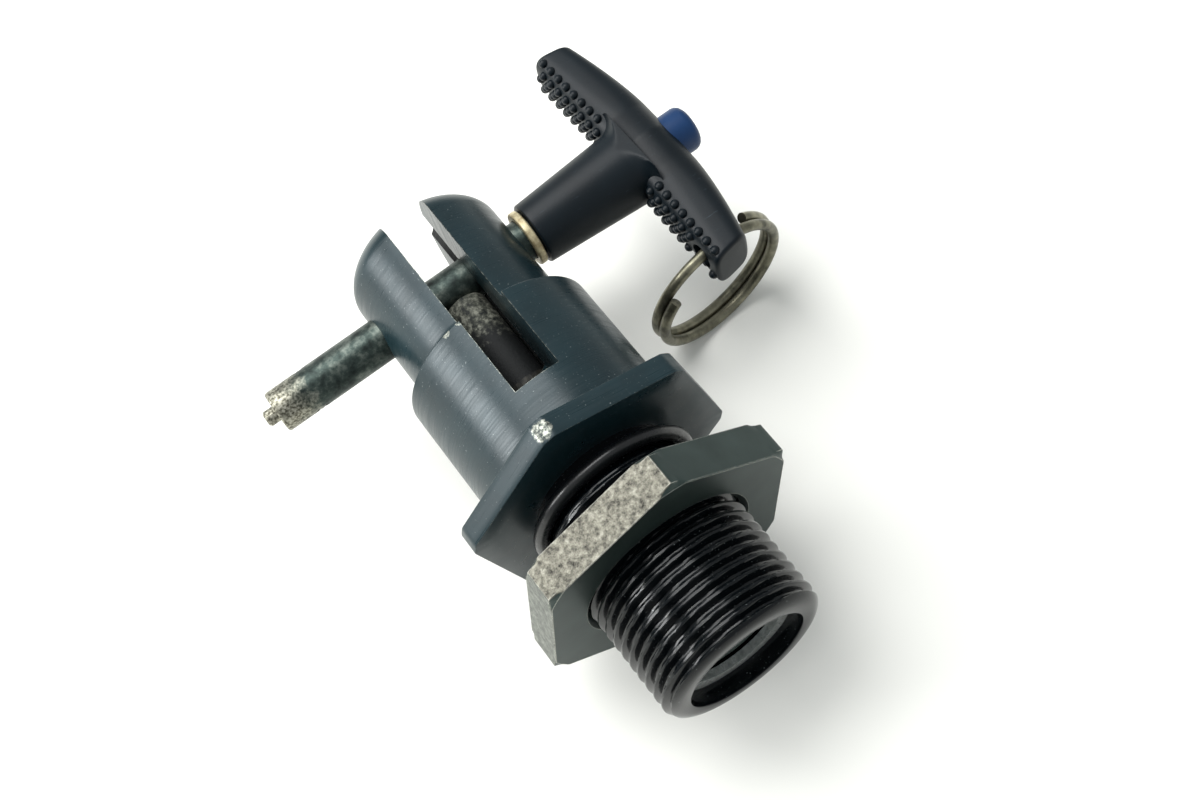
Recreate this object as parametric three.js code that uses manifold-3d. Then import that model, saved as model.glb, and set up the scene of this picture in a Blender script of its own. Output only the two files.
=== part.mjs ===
// Panel-mounted pneumatic valve with a forked head and a quick-release T-handle pin.
// Millimetres. +Y runs along the valve from the panel face to the fork, +X along the pin to the handle,
// +Z is up. The origin is on the valve's axis, in the face of the flange that meets the panel.
import * as THREE from "three";
import { mergeVertices } from "three/addons/utils/BufferGeometryUtils.js";
import Module from "manifold-3d";

const wasm = await Module();
wasm.setup();

// ---- Driving dimensions ---------------------------------------------------------------------
const RUN = 0.06; // radial clearance of a piece that slides or turns in another
const SEAT_GAP = 0.3; // gap left between two faces that rest on each other
const OVERLAP = 1; // how far a solid reaches past the face that it joins or cuts

// Shank with its thread
const SHANK_LENGTH = 39.2;
const THREAD_R = 15.08; // 1-3/16 in thread, crest radius
const THREAD_PITCH = 2.117; // 12 threads to the inch
const THREAD_DEPTH = 1.15;
const THREAD_TOP = 6.3; // first crest below the panel face
const THREAD_END_LENGTH = 2.2; // rounded chamfer at the end of the shank
const THREAD_END_DEPTH = 2.58; // how far in from the crests that chamfer reaches
const RELIEF_DEPTH = 1.93; // plain groove under the flange, where the O-ring sits
const MOUTH_R = 10.97; // counterbore in the end of the shank
const MOUTH_DEPTH = 3.3;
const CHAMBER_R = 9.9;

// Hexagonal flange
const FLANGE_AF = 44.6;
const FLANGE_T = 4.2;
const FLANGE_CORNER_R = 25.1;
const FLANGE_TURN = 12.9; // degrees, of a corner from +Z towards -X

// Barrel, neck and domed fork
const BARREL_R = 18.2;
const BARREL_TOP = 30.6;
const SHOULDER_FILLET = 2.4;
const NECK_R = 15.0;
const DOME_BASE = 54.0;
const DOME_HEIGHT = 8.0;
const SLOT_WIDTH = 8.5;
const SLOT_BOTTOM = 13.7; // where the slot ends on the barrel's outside, short of the flange
const SLOT_CUTTER_R = 22.2; // 1-3/4 in disc that cuts the slot in from both sides
const SLOT_CUTTER_PAST = 1.0; // how far each cut passes the valve's axis
const FORK_BORE_R = 5.4; // axial bore that guides the stem and cuts the slot's walls
const CHAMBER_TOP = 3.5;
const VENT_R = 1.9;
const VENT_OFFSET = -8.2; // of the vent from the chamber to the slot, behind the axis

// Stem, poppet and seat
const STEM_R = 4.1;
const STEM_NECK_R = 3.0; // thinner lower length, inside the chamber
const STEM_TOP_GAP = 0.43; // from the stem's top to the pin
const STEM_EDGE = 0.8;
const BUSH_TOP = 21.5;
const CLIP_R = 6.4;
const CLIP_T = 1.2;
const CLIP_GROOVE_R = 2.3;
const CLIP_SNAP = 0.4; // how much narrower the clip's mouth is than the groove
const RING_T = 1.4; // retaining ring in the mouth
const RING_BORE_R = 8.8;
const RING_GROOVE_DEPTH = 0.8;
const RING_GAP = 3.0; // between the retaining ring's ends
const POPPET_R = 8.3;
const POPPET_T = 3.4;
const POPPET_EDGE = 0.6;
const POPPET_BACK = 1.7; // from the retaining ring's outer face to the poppet's face
const SCREW_HEAD_R = 2.6;
const SCREW_HEAD_T = 1.4;
const SCREW_R = 1.25;
const SCREW_LENGTH = 9.0;
const SCREW_SLOT_WIDTH = 0.8;
const SCREW_SLOT_DEPTH = 0.5;
const SEAL_T = 1.6;
const SEAL_INNER_R = 5.2;
const SEAL_OUTER_R = 7.6;
const SEAT_LENGTH = 9.0;
const SEAT_BORE_R = 6.0;
const SEAT_RIM = 0.8; // width of the face that the seal closes on
const SEAT_LIP = 0.8; // height of that face above the insert's body
const O_RING_SECTION_R = 1.0;
const O_RING_GROOVE = 2.6; // width of its groove
const SPRING_WIRE_R = 0.5;
const SPRING_R = 4.9;
const SPRING_TURNS = 7;

// Flange O-ring
const FLANGE_RING_SECTION_R = 1.35;
const FLANGE_RING_DROP = 3.4; // its middle, below the panel face

// Jam nut
const NUT_AF = 45.0;
const NUT_T = 7.1;
const NUT_TOP = 11.4; // its clamping face, below the panel face
const NUT_CORNER_R = 25.9;
const NUT_TURN = -9.9; // degrees, of a corner from +Z towards -X
const NUT_LEAD = 0.9; // chamfer at each end of its bore
const CORNER_CHAMFER = 1.2; // how far in a corner's chamfer starts on the face
const CORNER_CHAMFER_SLOPE = 0.58;

// Quick-release pin
const PIN_R = 3.97; // 5/16 in
const PIN_HEIGHT = 46.9; // its axis, above the panel face
const PIN_END = 37.3; // on the far side of the valve's axis from the handle
const PIN_CHAMFER = 0.6;
const SPINDLE_R = 1.75;
const SPINDLE_TIP = 2.2; // stands out of the pin's end
const SPINDLE_TIP_R = 1.5;
const SPINDLE_STEP = 1.0; // length of each step from the rod to its thinner parts
const SPINDLE_EDGE = 0.4;
const SPINDLE_LAND_R = 1.41; // under the balls at rest
const BALL_X = 30.2; // from the valve's axis, away from the handle
const BALL_DROP = 0.35; // how far they drop in when the button is pressed
const BALL_TURN = 25.7; // degrees, of the balls' axis from the -Y axis towards -Z
const COLLAR_GAP = 1.1; // from the fork's side to the collar
const COLLAR_T = 1.5;
const COLLAR_R = 5.4;
const COLLAR_EDGE = 0.35;

// T-handle: a neck on the pin and a bar of rounded section across it
const NECK_LENGTH = 20.4;
const NECK_START_R = 5.95;
const NECK_END_R = 7.3;
const NECK_EDGE = 0.4;
const BAR_DEPTH = 11.0; // along the pin, at the middle of the bar
const BAR_TIP_DEPTH = 7.5;
const BAR_REACH = 28.3; // half the bar's length
const BAR_FLAT = 7.0; // half the length over which the bar keeps its depth
const BAR_TAPER = 1.5; // power of its depth's fall towards the tip
const BAR_HALF_HEIGHT = 6.4; // at the middle
const BAR_SHOULDER_HEIGHT = 5.4; // half the height where the bar starts to taper
const BAR_TIP_HEIGHT = 4.7;
const BAR_POWER = 2.3; // of the section's outline at the middle; 2 is an ellipse
const BAR_TIP_POWER = 3.6; // the tips are squarer
const BAR_END_SLANT = 0.17;
const BAR_END_ROUND = 0.6;
const BAR_STATIONS = [0.25, 0.5, 0.75]; // shares of the taper at which its section is drawn
const HUB_FILLET = 3.2;
const BEAD_R = 0.9;
const BEAD_PITCH = 2.4;
const BEAD_ROWS = 6;
const BEAD_ROW_PITCH = 1.73;
const BEAD_COUNT = 8;
const BEAD_START = 8.3; // of the first bead from the pin's axis
const CAVITY_R = 4.5; // for the button and its spring
const CAVITY_DEPTH = 15.3;
const BUTTON_R = 4.4;
const BUTTON_OUT = 4.0; // stands out of the handle
const BUTTON_IN = 8.1;
const BUTTON_EDGE = 1.6;
const BUTTON_TRAVEL = 3.0;
const SPINDLE_GRIP = 4.0; // length of the spindle held in the button
const BUTTON_SPRING_R = 3.0;
const BUTTON_WIRE_R = 0.35;
const BUTTON_SPRING_TURNS = 5;

// Split ring
const SPLIT_R = 13.6; // to the middle of the wire
const SPLIT_WIRE_R = 1.02;
const SPLIT_GAP = 0.08; // between its two coils
const SPLIT_TURNS = 1.755;
const SPLIT_START = 38; // degrees round the ring, from its top, of the first cut end
const SPLIT_LEAN = 5; // degrees, of the hanging ring towards the fork
const SPLIT_YAW = 4; // degrees, of the ring's plane about the vertical
const SPLIT_OFFSET = -1.3; // of the ring's middle from the eye's, along the pin
const SPLIT_LIFT = 0.5; // of the wire above the eye's axis
const SPLIT_STEPS = 28; // for a turn
const EYE_R = 2.45; // hole through the bar for the ring
const EYE_INSET = 4.9; // from the bar's tip

// Facet counts
const FINE = 44;
const MEDIUM = 32;
const SMALL = 20;
const ARC = 5; // steps of a fillet
const DOME = 11; // steps from the bore's mouth to the neck
const CUTTER = 60;
const WIRE_SIDES = 6;
const RING_SIDES = 8;
const LIFT_SPRING_STEPS = 12; // for a turn
const BUTTON_SPRING_STEPS = 10;
const BALL_FACETS = [12, 8];
const BEAD_FACETS = [5, 3];

// ---- Sizes that follow ----------------------------------------------------------------------
const SHANK_END_R = THREAD_R - THREAD_END_DEPTH;
const RELIEF_R = THREAD_R - RELIEF_DEPTH;
const RING_FACE_Y = -SHANK_LENGTH + MOUTH_DEPTH; // outer face of the retaining ring
const RING_TOP_Y = RING_FACE_Y + RING_T;
const POPPET_FACE_Y = RING_FACE_Y + POPPET_BACK;
const POPPET_TOP_Y = POPPET_FACE_Y + POPPET_T;
const SEAT_BOTTOM_Y = POPPET_TOP_Y + RUN + SEAL_T + SEAT_GAP;
const SEAT_TOP_Y = SEAT_BOTTOM_Y + SEAT_LIP + SEAT_LENGTH;
const CLIP_TOP_Y = CHAMBER_TOP - SEAT_GAP;
const CLIP_BOTTOM_Y = CLIP_TOP_Y - CLIP_T;
const STEM_TOP = PIN_HEIGHT - PIN_R - STEM_TOP_GAP;
const BALL_R = (PIN_R - SPINDLE_LAND_R - RUN) / 2; // from the spindle to level with the pin
const BALL_CENTRE_R = PIN_R - BALL_R;
const COLLAR_X = NECK_R + COLLAR_GAP;
const HANDLE_X = COLLAR_X + COLLAR_T + SEAT_GAP;
const BAR_INNER_X = HANDLE_X + NECK_LENGTH;
const BAR_OUTER_X = BAR_INNER_X + BAR_DEPTH;
const CAVITY_BOTTOM_X = BAR_OUTER_X - CAVITY_DEPTH;
const BUTTON_TOP_X = BAR_OUTER_X + BUTTON_OUT;
const BUTTON_BOTTOM_X = BAR_OUTER_X - BUTTON_IN;
const EYE_Y = PIN_HEIGHT - BAR_REACH + EYE_INSET;
const EYE_X = BAR_INNER_X + BAR_TIP_DEPTH / 2;

// ---- Solids ---------------------------------------------------------------------------------

// A closed three.js geometry as a manifold-3d solid.
function solid(geometry) {
  const bare = geometry.index ? geometry.toNonIndexed() : geometry.clone();
  bare.deleteAttribute("normal");
  bare.deleteAttribute("uv");
  const merged = mergeVertices(bare, 1e-4);
  return new wasm.Manifold(
    new wasm.Mesh({
      numProp: 3,
      vertProperties: merged.attributes.position.array,
      triVerts: new Uint32Array(merged.index.array),
    }),
  );
}

function geometryOf(body) {
  const mesh = body.getMesh();
  const geometry = new THREE.BufferGeometry();
  geometry.setAttribute("position", new THREE.BufferAttribute(mesh.vertProperties, 3));
  geometry.setIndex(new THREE.BufferAttribute(mesh.triVerts, 1));
  geometry.computeVertexNormals();
  return geometry;
}

// A solid of revolution about Y. The profile is a closed loop of [radius, y] points.
function turned(profile, segments = FINE) {
  const loop = profile.map(([r, y]) => new THREE.Vector2(r, y));
  const area = loop.reduce((sum, p, i) => {
    const q = loop[(i + 1) % loop.length];
    return sum + p.x * q.y - q.x * p.y;
  }, 0);
  if (area < 0) loop.reverse();
  const closed = loop.some((p) => p.x === 0) ? rotateToAxis(loop) : [...loop, loop[0].clone()];
  return solid(new THREE.LatheGeometry(closed, segments));
}

// A loop that touches the axis is turned so that it starts and ends there.
function rotateToAxis(loop) {
  const n = loop.length;
  const start = loop.findIndex((p, i) => p.x === 0 && loop[(i + n - 1) % n].x === 0);
  return loop.map((_, i) => loop[(start + i) % n]);
}

function disc(radius, y0, y1, segments = FINE) {
  return turned([[0, y0], [radius, y0], [radius, y1], [0, y1]], segments);
}

function tube(inner, outer, y0, y1, segments = FINE) {
  return turned([[inner, y0], [outer, y0], [outer, y1], [inner, y1]], segments);
}

// Points of an arc in a profile, from one angle to another, in degrees.
function arc(r0, y0, radius, from, to, steps, heightRatio = 1) {
  return Array.from({ length: steps + 1 }, (_, i) => {
    const angle = THREE.MathUtils.degToRad(from + ((to - from) * i) / steps);
    return [r0 + radius * Math.cos(angle), y0 + radius * heightRatio * Math.sin(angle)];
  });
}

// A solid made about Y, laid along X on the pin's axis: its y becomes x.
function onPinAxis(body) {
  const toX = new THREE.Matrix4().makeRotationZ(-Math.PI / 2);
  toX.premultiply(new THREE.Matrix4().makeTranslation(0, PIN_HEIGHT, 0));
  return body.transform(toX.elements);
}

function hexagon(acrossFlats, y0, y1, turnDegrees) {
  const corner = acrossFlats / Math.sqrt(3);
  const shape = new THREE.Shape(
    Array.from({ length: 6 }, (_, i) => {
      const angle = THREE.MathUtils.degToRad(90 + turnDegrees + i * 60);
      return new THREE.Vector2(corner * Math.cos(angle), corner * Math.sin(angle));
    }),
  );
  const geometry = new THREE.ExtrudeGeometry(shape, { depth: y1 - y0, bevelEnabled: false });
  geometry.rotateX(Math.PI / 2); // the shape's y becomes Z, and its depth runs along -Y
  geometry.translate(0, y1, 0);
  return solid(geometry);
}

// A hexagon whose corners are turned off by a cone on the faces named.
function chamferedHexagon(acrossFlats, cornerRadius, y0, y1, turnDegrees, bottom, top) {
  const start = cornerRadius - CORNER_CHAMFER;
  const drop = CORNER_CHAMFER * CORNER_CHAMFER_SLOPE;
  const profile = [
    [0, y0],
    [bottom ? start : cornerRadius, y0],
    [cornerRadius, bottom ? y0 + drop : y0],
    [cornerRadius, top ? y1 - drop : y1],
    [top ? start : cornerRadius, y1],
    [0, y1],
  ];
  return hexagon(acrossFlats, y0, y1, turnDegrees).intersect(turned(profile, FINE));
}

// A wire of round section along a helix about Y.
function helicalWire(radius, wireR, y0, y1, turns, perTurn, sides) {
  const curve = new THREE.CatmullRomCurve3(
    Array.from({ length: Math.round(turns * perTurn) + 1 }, (_, i) => {
      const share = i / Math.round(turns * perTurn);
      const angle = share * turns * 2 * Math.PI;
      return new THREE.Vector3(radius * Math.cos(angle), y0 + (y1 - y0) * share, radius * Math.sin(angle));
    }),
  );
  return wireAlong(curve, wireR, Math.round(turns * perTurn), sides);
}

function wireAlong(curve, wireR, steps, sides) {
  const section = new THREE.Shape(
    Array.from({ length: sides }, (_, i) => {
      const angle = (i / sides) * 2 * Math.PI;
      return new THREE.Vector2(wireR * Math.cos(angle), wireR * Math.sin(angle));
    }),
  );
  return solid(new THREE.ExtrudeGeometry(section, { steps, extrudePath: curve, bevelEnabled: false }));
}

// ---- The valve's body and what it holds -------------------------------------------------------

// Ring-shaped grooves stand for the thread, one for each pitch.
function threadProfile() {
  const points = [];
  const lastCrest = -SHANK_LENGTH + THREAD_END_LENGTH;
  const root = THREAD_R - THREAD_DEPTH;
  const flat = THREAD_PITCH / 8;
  const flank = THREAD_PITCH / 2 - flat;
  for (let y = -THREAD_TOP; y - THREAD_PITCH / 2 > lastCrest; y -= THREAD_PITCH) {
    points.push([THREAD_R, y], [THREAD_R, y - flat], [root, y - flat - flank], [root, y - flat - flank - flat]);
  }
  const end = points[points.length - 1][1];
  points.push([THREAD_R, end - flank]);
  return points;
}

function valveBody() {
  const endArc = arc(SHANK_END_R, -SHANK_LENGTH + THREAD_END_LENGTH, THREAD_R - SHANK_END_R, 0, -90, ARC,
    THREAD_END_LENGTH / (THREAD_R - SHANK_END_R));
  const grooveBottom = RING_FACE_Y - RUN;
  const grooveTop = RING_TOP_Y + RUN;
  const outline = [
    [RELIEF_R, 0],
    [RELIEF_R, -THREAD_TOP + (THREAD_R - RELIEF_R) / 2],
    ...threadProfile(),
    ...endArc,
    [MOUTH_R, -SHANK_LENGTH],
    [MOUTH_R, grooveBottom],
    [MOUTH_R + RING_GROOVE_DEPTH, grooveBottom],
    [MOUTH_R + RING_GROOVE_DEPTH, grooveTop],
    [CHAMBER_R, grooveTop],
    [CHAMBER_R, CHAMBER_TOP],
    [FORK_BORE_R, CHAMBER_TOP],
    ...domeProfile(),
    ...arc(NECK_R + SHOULDER_FILLET, BARREL_TOP + SHOULDER_FILLET, SHOULDER_FILLET, 180, 270, ARC),
    [BARREL_R, BARREL_TOP],
    [BARREL_R, 0],
  ];
  const pinHole = onPinAxis(disc(PIN_R + RUN, -2 * BARREL_R, 2 * BARREL_R, MEDIUM));
  const vent = disc(VENT_R, CHAMBER_TOP - OVERLAP, BUSH_TOP, SMALL).translate([0, 0, VENT_OFFSET]);
  return turned(outline).add(flange()).subtract(slot()).subtract(pinHole).subtract(vent);
}

// The way of a disc that cuts in from each side and moves up through the dome. Its rim leaves the slot's
// floor rising from the barrel's outside to the bore.
function slot() {
  const centreZ = SLOT_CUTTER_R - SLOT_CUTTER_PAST;
  const edgeZ = Math.sqrt(BARREL_R ** 2 - (SLOT_WIDTH / 2) ** 2);
  const centreY = SLOT_BOTTOM + Math.sqrt(SLOT_CUTTER_R ** 2 - (edgeZ - centreZ) ** 2);
  const open = new THREE.BoxGeometry(SLOT_WIDTH, 2 * DOME_BASE, 3 * BARREL_R);
  open.translate(0, centreY + DOME_BASE, 0);
  let cut = solid(open);
  for (const side of [-1, 1]) {
    const cutter = onPinAxis(disc(SLOT_CUTTER_R, -SLOT_WIDTH / 2, SLOT_WIDTH / 2, CUTTER));
    cut = cut.add(cutter.translate([0, centreY - PIN_HEIGHT, side * centreZ]));
  }
  return cut;
}

// From the axial bore's mouth over the dome and down to the neck's straight side.
function domeProfile() {
  const mouth = THREE.MathUtils.radToDeg(Math.acos(FORK_BORE_R / NECK_R));
  return arc(0, DOME_BASE, NECK_R, mouth, 0, DOME, DOME_HEIGHT / NECK_R);
}

function flange() {
  const hex = chamferedHexagon(FLANGE_AF, FLANGE_CORNER_R, 0, FLANGE_T, FLANGE_TURN, false, false);
  return hex.subtract(disc(BARREL_R - OVERLAP, -OVERLAP, FLANGE_T + OVERLAP));
}

function flangeORing() {
  const middle = RELIEF_R + RUN + FLANGE_RING_SECTION_R;
  return turned(arc(middle, -FLANGE_RING_DROP, FLANGE_RING_SECTION_R, 0, 330, 11), FINE);
}

function jamNut() {
  const hex = chamferedHexagon(NUT_AF, NUT_CORNER_R, -NUT_TOP - NUT_T, -NUT_TOP, NUT_TURN, true, true);
  const bore = THREAD_R + RUN;
  return hex.subtract(
    turned([
      [0, -NUT_TOP - NUT_T - OVERLAP],
      [bore + NUT_LEAD + OVERLAP, -NUT_TOP - NUT_T - OVERLAP],
      [bore, -NUT_TOP - NUT_T + NUT_LEAD],
      [bore, -NUT_TOP - NUT_LEAD],
      [bore + NUT_LEAD + OVERLAP, -NUT_TOP + OVERLAP],
      [0, -NUT_TOP + OVERLAP],
    ]),
  );
}

function guideBush() {
  return tube(STEM_R + RUN, FORK_BORE_R - RUN, CHAMBER_TOP + SEAT_GAP, BUSH_TOP, MEDIUM);
}

// A spring ring with a gap, sprung into the groove in the mouth.
function retainingRing() {
  const outer = MOUTH_R + RING_GROOVE_DEPTH - RUN;
  const gap = new THREE.BoxGeometry(RING_GAP, 2 * RING_T, 2 * outer);
  gap.translate(0, (RING_FACE_Y + RING_TOP_Y) / 2, outer);
  return tube(RING_BORE_R, outer, RING_FACE_Y, RING_TOP_Y).subtract(solid(gap));
}

function seatInsert() {
  const groove = SEAT_TOP_Y - SEAT_LENGTH / 2;
  const outer = CHAMBER_R - RUN;
  const floor = outer - 2 * O_RING_SECTION_R;
  return turned([
    [SEAT_BORE_R, SEAT_BOTTOM_Y],
    [SEAT_BORE_R + SEAT_RIM, SEAT_BOTTOM_Y],
    [SEAT_BORE_R + SEAT_RIM + SEAT_LIP, SEAT_BOTTOM_Y + SEAT_LIP],
    [outer, SEAT_BOTTOM_Y + SEAT_LIP],
    [outer, groove - O_RING_GROOVE / 2],
    [floor, groove - O_RING_GROOVE / 2],
    [floor, groove + O_RING_GROOVE / 2],
    [outer, groove + O_RING_GROOVE / 2],
    [outer, SEAT_TOP_Y],
    [SEAT_BORE_R, SEAT_TOP_Y],
  ], MEDIUM);
}

function seatORing() {
  const middle = CHAMBER_R - RUN - O_RING_SECTION_R;
  return turned(arc(middle, SEAT_TOP_Y - SEAT_LENGTH / 2, O_RING_SECTION_R - RUN, 0, 315, 7), MEDIUM);
}

// ---- The sprung stem and its poppet ---------------------------------------------------------

function plungerStem() {
  const holeR = SCREW_R + RUN;
  const holeTop = POPPET_FACE_Y + SCREW_HEAD_T + SCREW_LENGTH + SEAT_GAP;
  return turned([
    [holeR, POPPET_TOP_Y + SEAT_GAP],
    [STEM_NECK_R, POPPET_TOP_Y + SEAT_GAP],
    [STEM_NECK_R, CLIP_BOTTOM_Y - RUN],
    [CLIP_GROOVE_R, CLIP_BOTTOM_Y - RUN],
    [CLIP_GROOVE_R, CLIP_TOP_Y + RUN],
    [STEM_R, CLIP_TOP_Y + RUN],
    [STEM_R, STEM_TOP - STEM_EDGE],
    [STEM_R - STEM_EDGE, STEM_TOP],
    [0, STEM_TOP],
    [0, holeTop],
    [holeR, holeTop],
  ], MEDIUM);
}

// A clip pushed on from the side: a ring with a mouth as wide as the groove.
function springClip() {
  const mouth = new THREE.BoxGeometry(2 * CLIP_GROOVE_R - CLIP_SNAP, 2 * CLIP_T, 2 * CLIP_R);
  mouth.translate(0, CLIP_TOP_Y, -CLIP_R);
  return tube(CLIP_GROOVE_R + RUN, CLIP_R, CLIP_BOTTOM_Y, CLIP_TOP_Y, SMALL).subtract(solid(mouth));
}

function liftSpring() {
  const low = SEAT_TOP_Y + SEAT_GAP + SPRING_WIRE_R;
  const high = CLIP_BOTTOM_Y - SEAT_GAP - SPRING_WIRE_R;
  return helicalWire(SPRING_R, SPRING_WIRE_R, low, high, SPRING_TURNS, LIFT_SPRING_STEPS, WIRE_SIDES);
}

function poppet() {
  const pocket = POPPET_FACE_Y + SCREW_HEAD_T + SEAT_GAP;
  return turned([
    [SCREW_R + RUN, pocket],
    [SCREW_HEAD_R + RUN, pocket],
    [SCREW_HEAD_R + RUN, POPPET_FACE_Y],
    [POPPET_R - POPPET_EDGE, POPPET_FACE_Y],
    [POPPET_R, POPPET_FACE_Y + POPPET_EDGE],
    [POPPET_R, POPPET_TOP_Y],
    [SCREW_R + RUN, POPPET_TOP_Y],
  ]);
}

function poppetSeal() {
  const low = POPPET_TOP_Y + RUN;
  return tube(SEAL_INNER_R, SEAL_OUTER_R, low, low + SEAL_T, MEDIUM);
}

// Slotted screw that holds the poppet on the stem.
function poppetScrew() {
  const headTop = POPPET_FACE_Y + SCREW_HEAD_T;
  const head = POPPET_FACE_Y + RUN;
  const slot = new THREE.BoxGeometry(3 * SCREW_HEAD_R, 2 * SCREW_SLOT_DEPTH, SCREW_SLOT_WIDTH);
  slot.translate(0, head, 0);
  return turned([
    [0, head],
    [SCREW_HEAD_R, head],
    [SCREW_HEAD_R, headTop],
    [SCREW_R, headTop],
    [SCREW_R, headTop + SCREW_LENGTH],
    [0, headTop + SCREW_LENGTH],
  ], SMALL).subtract(solid(slot));
}

// ---- The quick-release pin ------------------------------------------------------------------

// A hole or a ball's path straight out from the pin's axis, towards side -1 or 1.
function ballPlace(body, side, distance) {
  const turn = THREE.MathUtils.degToRad(BALL_TURN + (side > 0 ? 180 : 0));
  const place = new THREE.Matrix4().makeRotationX(turn - Math.PI);
  const out = new THREE.Vector3(0, distance, 0).applyMatrix4(place);
  place.setPosition(-BALL_X + out.x, PIN_HEIGHT + out.y, out.z);
  return body.transform(place.elements);
}

function pinShank() {
  const handleEnd = CAVITY_BOTTOM_X - SEAT_GAP;
  let shank = onPinAxis(
    turned([
      [SPINDLE_R + RUN, -PIN_END],
      [PIN_R - PIN_CHAMFER, -PIN_END],
      [PIN_R, -PIN_END + PIN_CHAMFER],
      [PIN_R, handleEnd],
      [SPINDLE_R + RUN, handleEnd],
    ], MEDIUM),
  );
  for (const side of [-1, 1]) {
    shank = shank.subtract(ballPlace(disc(BALL_R + RUN, 0, 2 * PIN_R, SMALL), side, 0));
  }
  return shank;
}

function lockingBall(side) {
  return ballPlace(solid(new THREE.SphereGeometry(BALL_R, ...BALL_FACETS)), side, BALL_CENTRE_R);
}

// A rod through the pin. Under the balls it tapers, so that they drop in as it moves.
function spindle() {
  const slope = BALL_DROP / BUTTON_TRAVEL;
  const reach = BALL_R + SEAT_GAP;
  const taper = (x) => SPINDLE_LAND_R - slope * (x + BALL_X) - RUN;
  const tipY = -PIN_END - SPINDLE_TIP;
  return onPinAxis(
    turned([
      [0, tipY],
      [SPINDLE_TIP_R - SPINDLE_EDGE, tipY],
      [SPINDLE_TIP_R, tipY + SPINDLE_EDGE],
      [SPINDLE_TIP_R, -PIN_END + SPINDLE_STEP],
      [SPINDLE_R, -PIN_END + SPINDLE_STEP + SPINDLE_EDGE],
      [SPINDLE_R, -BALL_X - BUTTON_TRAVEL - reach],
      [taper(-BALL_X - reach), -BALL_X - reach],
      [taper(-BALL_X + BUTTON_TRAVEL + reach), -BALL_X + BUTTON_TRAVEL + reach],
      [SPINDLE_R, -BALL_X + BUTTON_TRAVEL + reach + SPINDLE_STEP],
      [SPINDLE_R, BUTTON_BOTTOM_X + SPINDLE_GRIP],
      [0, BUTTON_BOTTOM_X + SPINDLE_GRIP],
    ], SMALL),
  );
}

function pinCollar() {
  return onPinAxis(
    turned([
      [PIN_R + RUN, COLLAR_X],
      [COLLAR_R - COLLAR_EDGE, COLLAR_X],
      [COLLAR_R, COLLAR_X + COLLAR_EDGE],
      [COLLAR_R, COLLAR_X + COLLAR_T - COLLAR_EDGE],
      [COLLAR_R - COLLAR_EDGE, COLLAR_X + COLLAR_T],
      [PIN_R + RUN, COLLAR_X + COLLAR_T],
    ], MEDIUM),
  );
}

// ---- The T-handle ---------------------------------------------------------------------------

// The bar's section at a distance from the pin's axis: its inner and outer x, half its height and its power.
function barSection(along) {
  const far = THREE.MathUtils.clamp((Math.abs(along) - BAR_FLAT) / (BAR_REACH - BAR_FLAT), 0, 1);
  const near = Math.min(Math.abs(along) / BAR_FLAT, 1);
  return {
    inner: BAR_INNER_X,
    outer: BAR_OUTER_X - (BAR_DEPTH - BAR_TIP_DEPTH) * far ** BAR_TAPER,
    power: BAR_POWER + (BAR_TIP_POWER - BAR_POWER) * far,
    half: THREE.MathUtils.lerp(BAR_HALF_HEIGHT, BAR_SHOULDER_HEIGHT, near)
      + (BAR_TIP_HEIGHT - BAR_SHOULDER_HEIGHT) * far,
  };
}

// A ring of points round the bar's section, drawn in by a distance at the rounded ends.
function barRing(along, inset) {
  const { inner, outer, half, power } = barSection(along);
  const middle = (inner + outer) / 2;
  const soften = (v) => Math.sign(v) * Math.abs(v) ** (2 / power);
  const past = Math.max(0, Math.abs(along) - BAR_FLAT) / (BAR_REACH - BAR_FLAT);
  const slant = Math.sign(along) * BAR_END_SLANT * past;
  return Array.from({ length: MEDIUM }, (_, i) => {
    const angle = (i / MEDIUM) * 2 * Math.PI;
    const x = middle + ((outer - inner) / 2 - inset) * soften(Math.cos(angle));
    const z = (half - inset) * soften(Math.sin(angle));
    return new THREE.Vector3(x, PIN_HEIGHT + along - slant * (x - inner), z);
  });
}

// A closed skin over rings of equal numbers of points, capped at both ends.
function loft(rings) {
  const n = rings[0].length;
  const centre = (ring) => ring.reduce((sum, p) => sum.add(p), new THREE.Vector3()).divideScalar(n);
  const points = [...rings.flat(), centre(rings[0]), centre(rings[rings.length - 1])];
  const first = rings.length * n;
  const index = [];
  for (let i = 0; i < n; i++) {
    const j = (i + 1) % n;
    for (let r = 0; r + 1 < rings.length; r++) {
      const a = r * n;
      index.push(a + i, a + n + i, a + j, a + j, a + n + i, a + n + j);
    }
    index.push(first, i, j, first + 1, (rings.length - 1) * n + j, (rings.length - 1) * n + i);
  }
  const geometry = new THREE.BufferGeometry().setFromPoints(points);
  geometry.setIndex(index);
  return solid(geometry);
}

function bar() {
  const stations = BAR_STATIONS.map((share) => BAR_FLAT + share * (BAR_REACH - BAR_FLAT));
  const half = [0, BAR_FLAT, ...stations, BAR_REACH - BAR_END_ROUND];
  const all = [...half.slice(1).reverse().map((v) => -v), ...half];
  return loft([
    barRing(-BAR_REACH, BAR_END_ROUND),
    ...all.map((along) => barRing(along, 0)),
    barRing(BAR_REACH, BAR_END_ROUND),
  ]);
}

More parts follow.
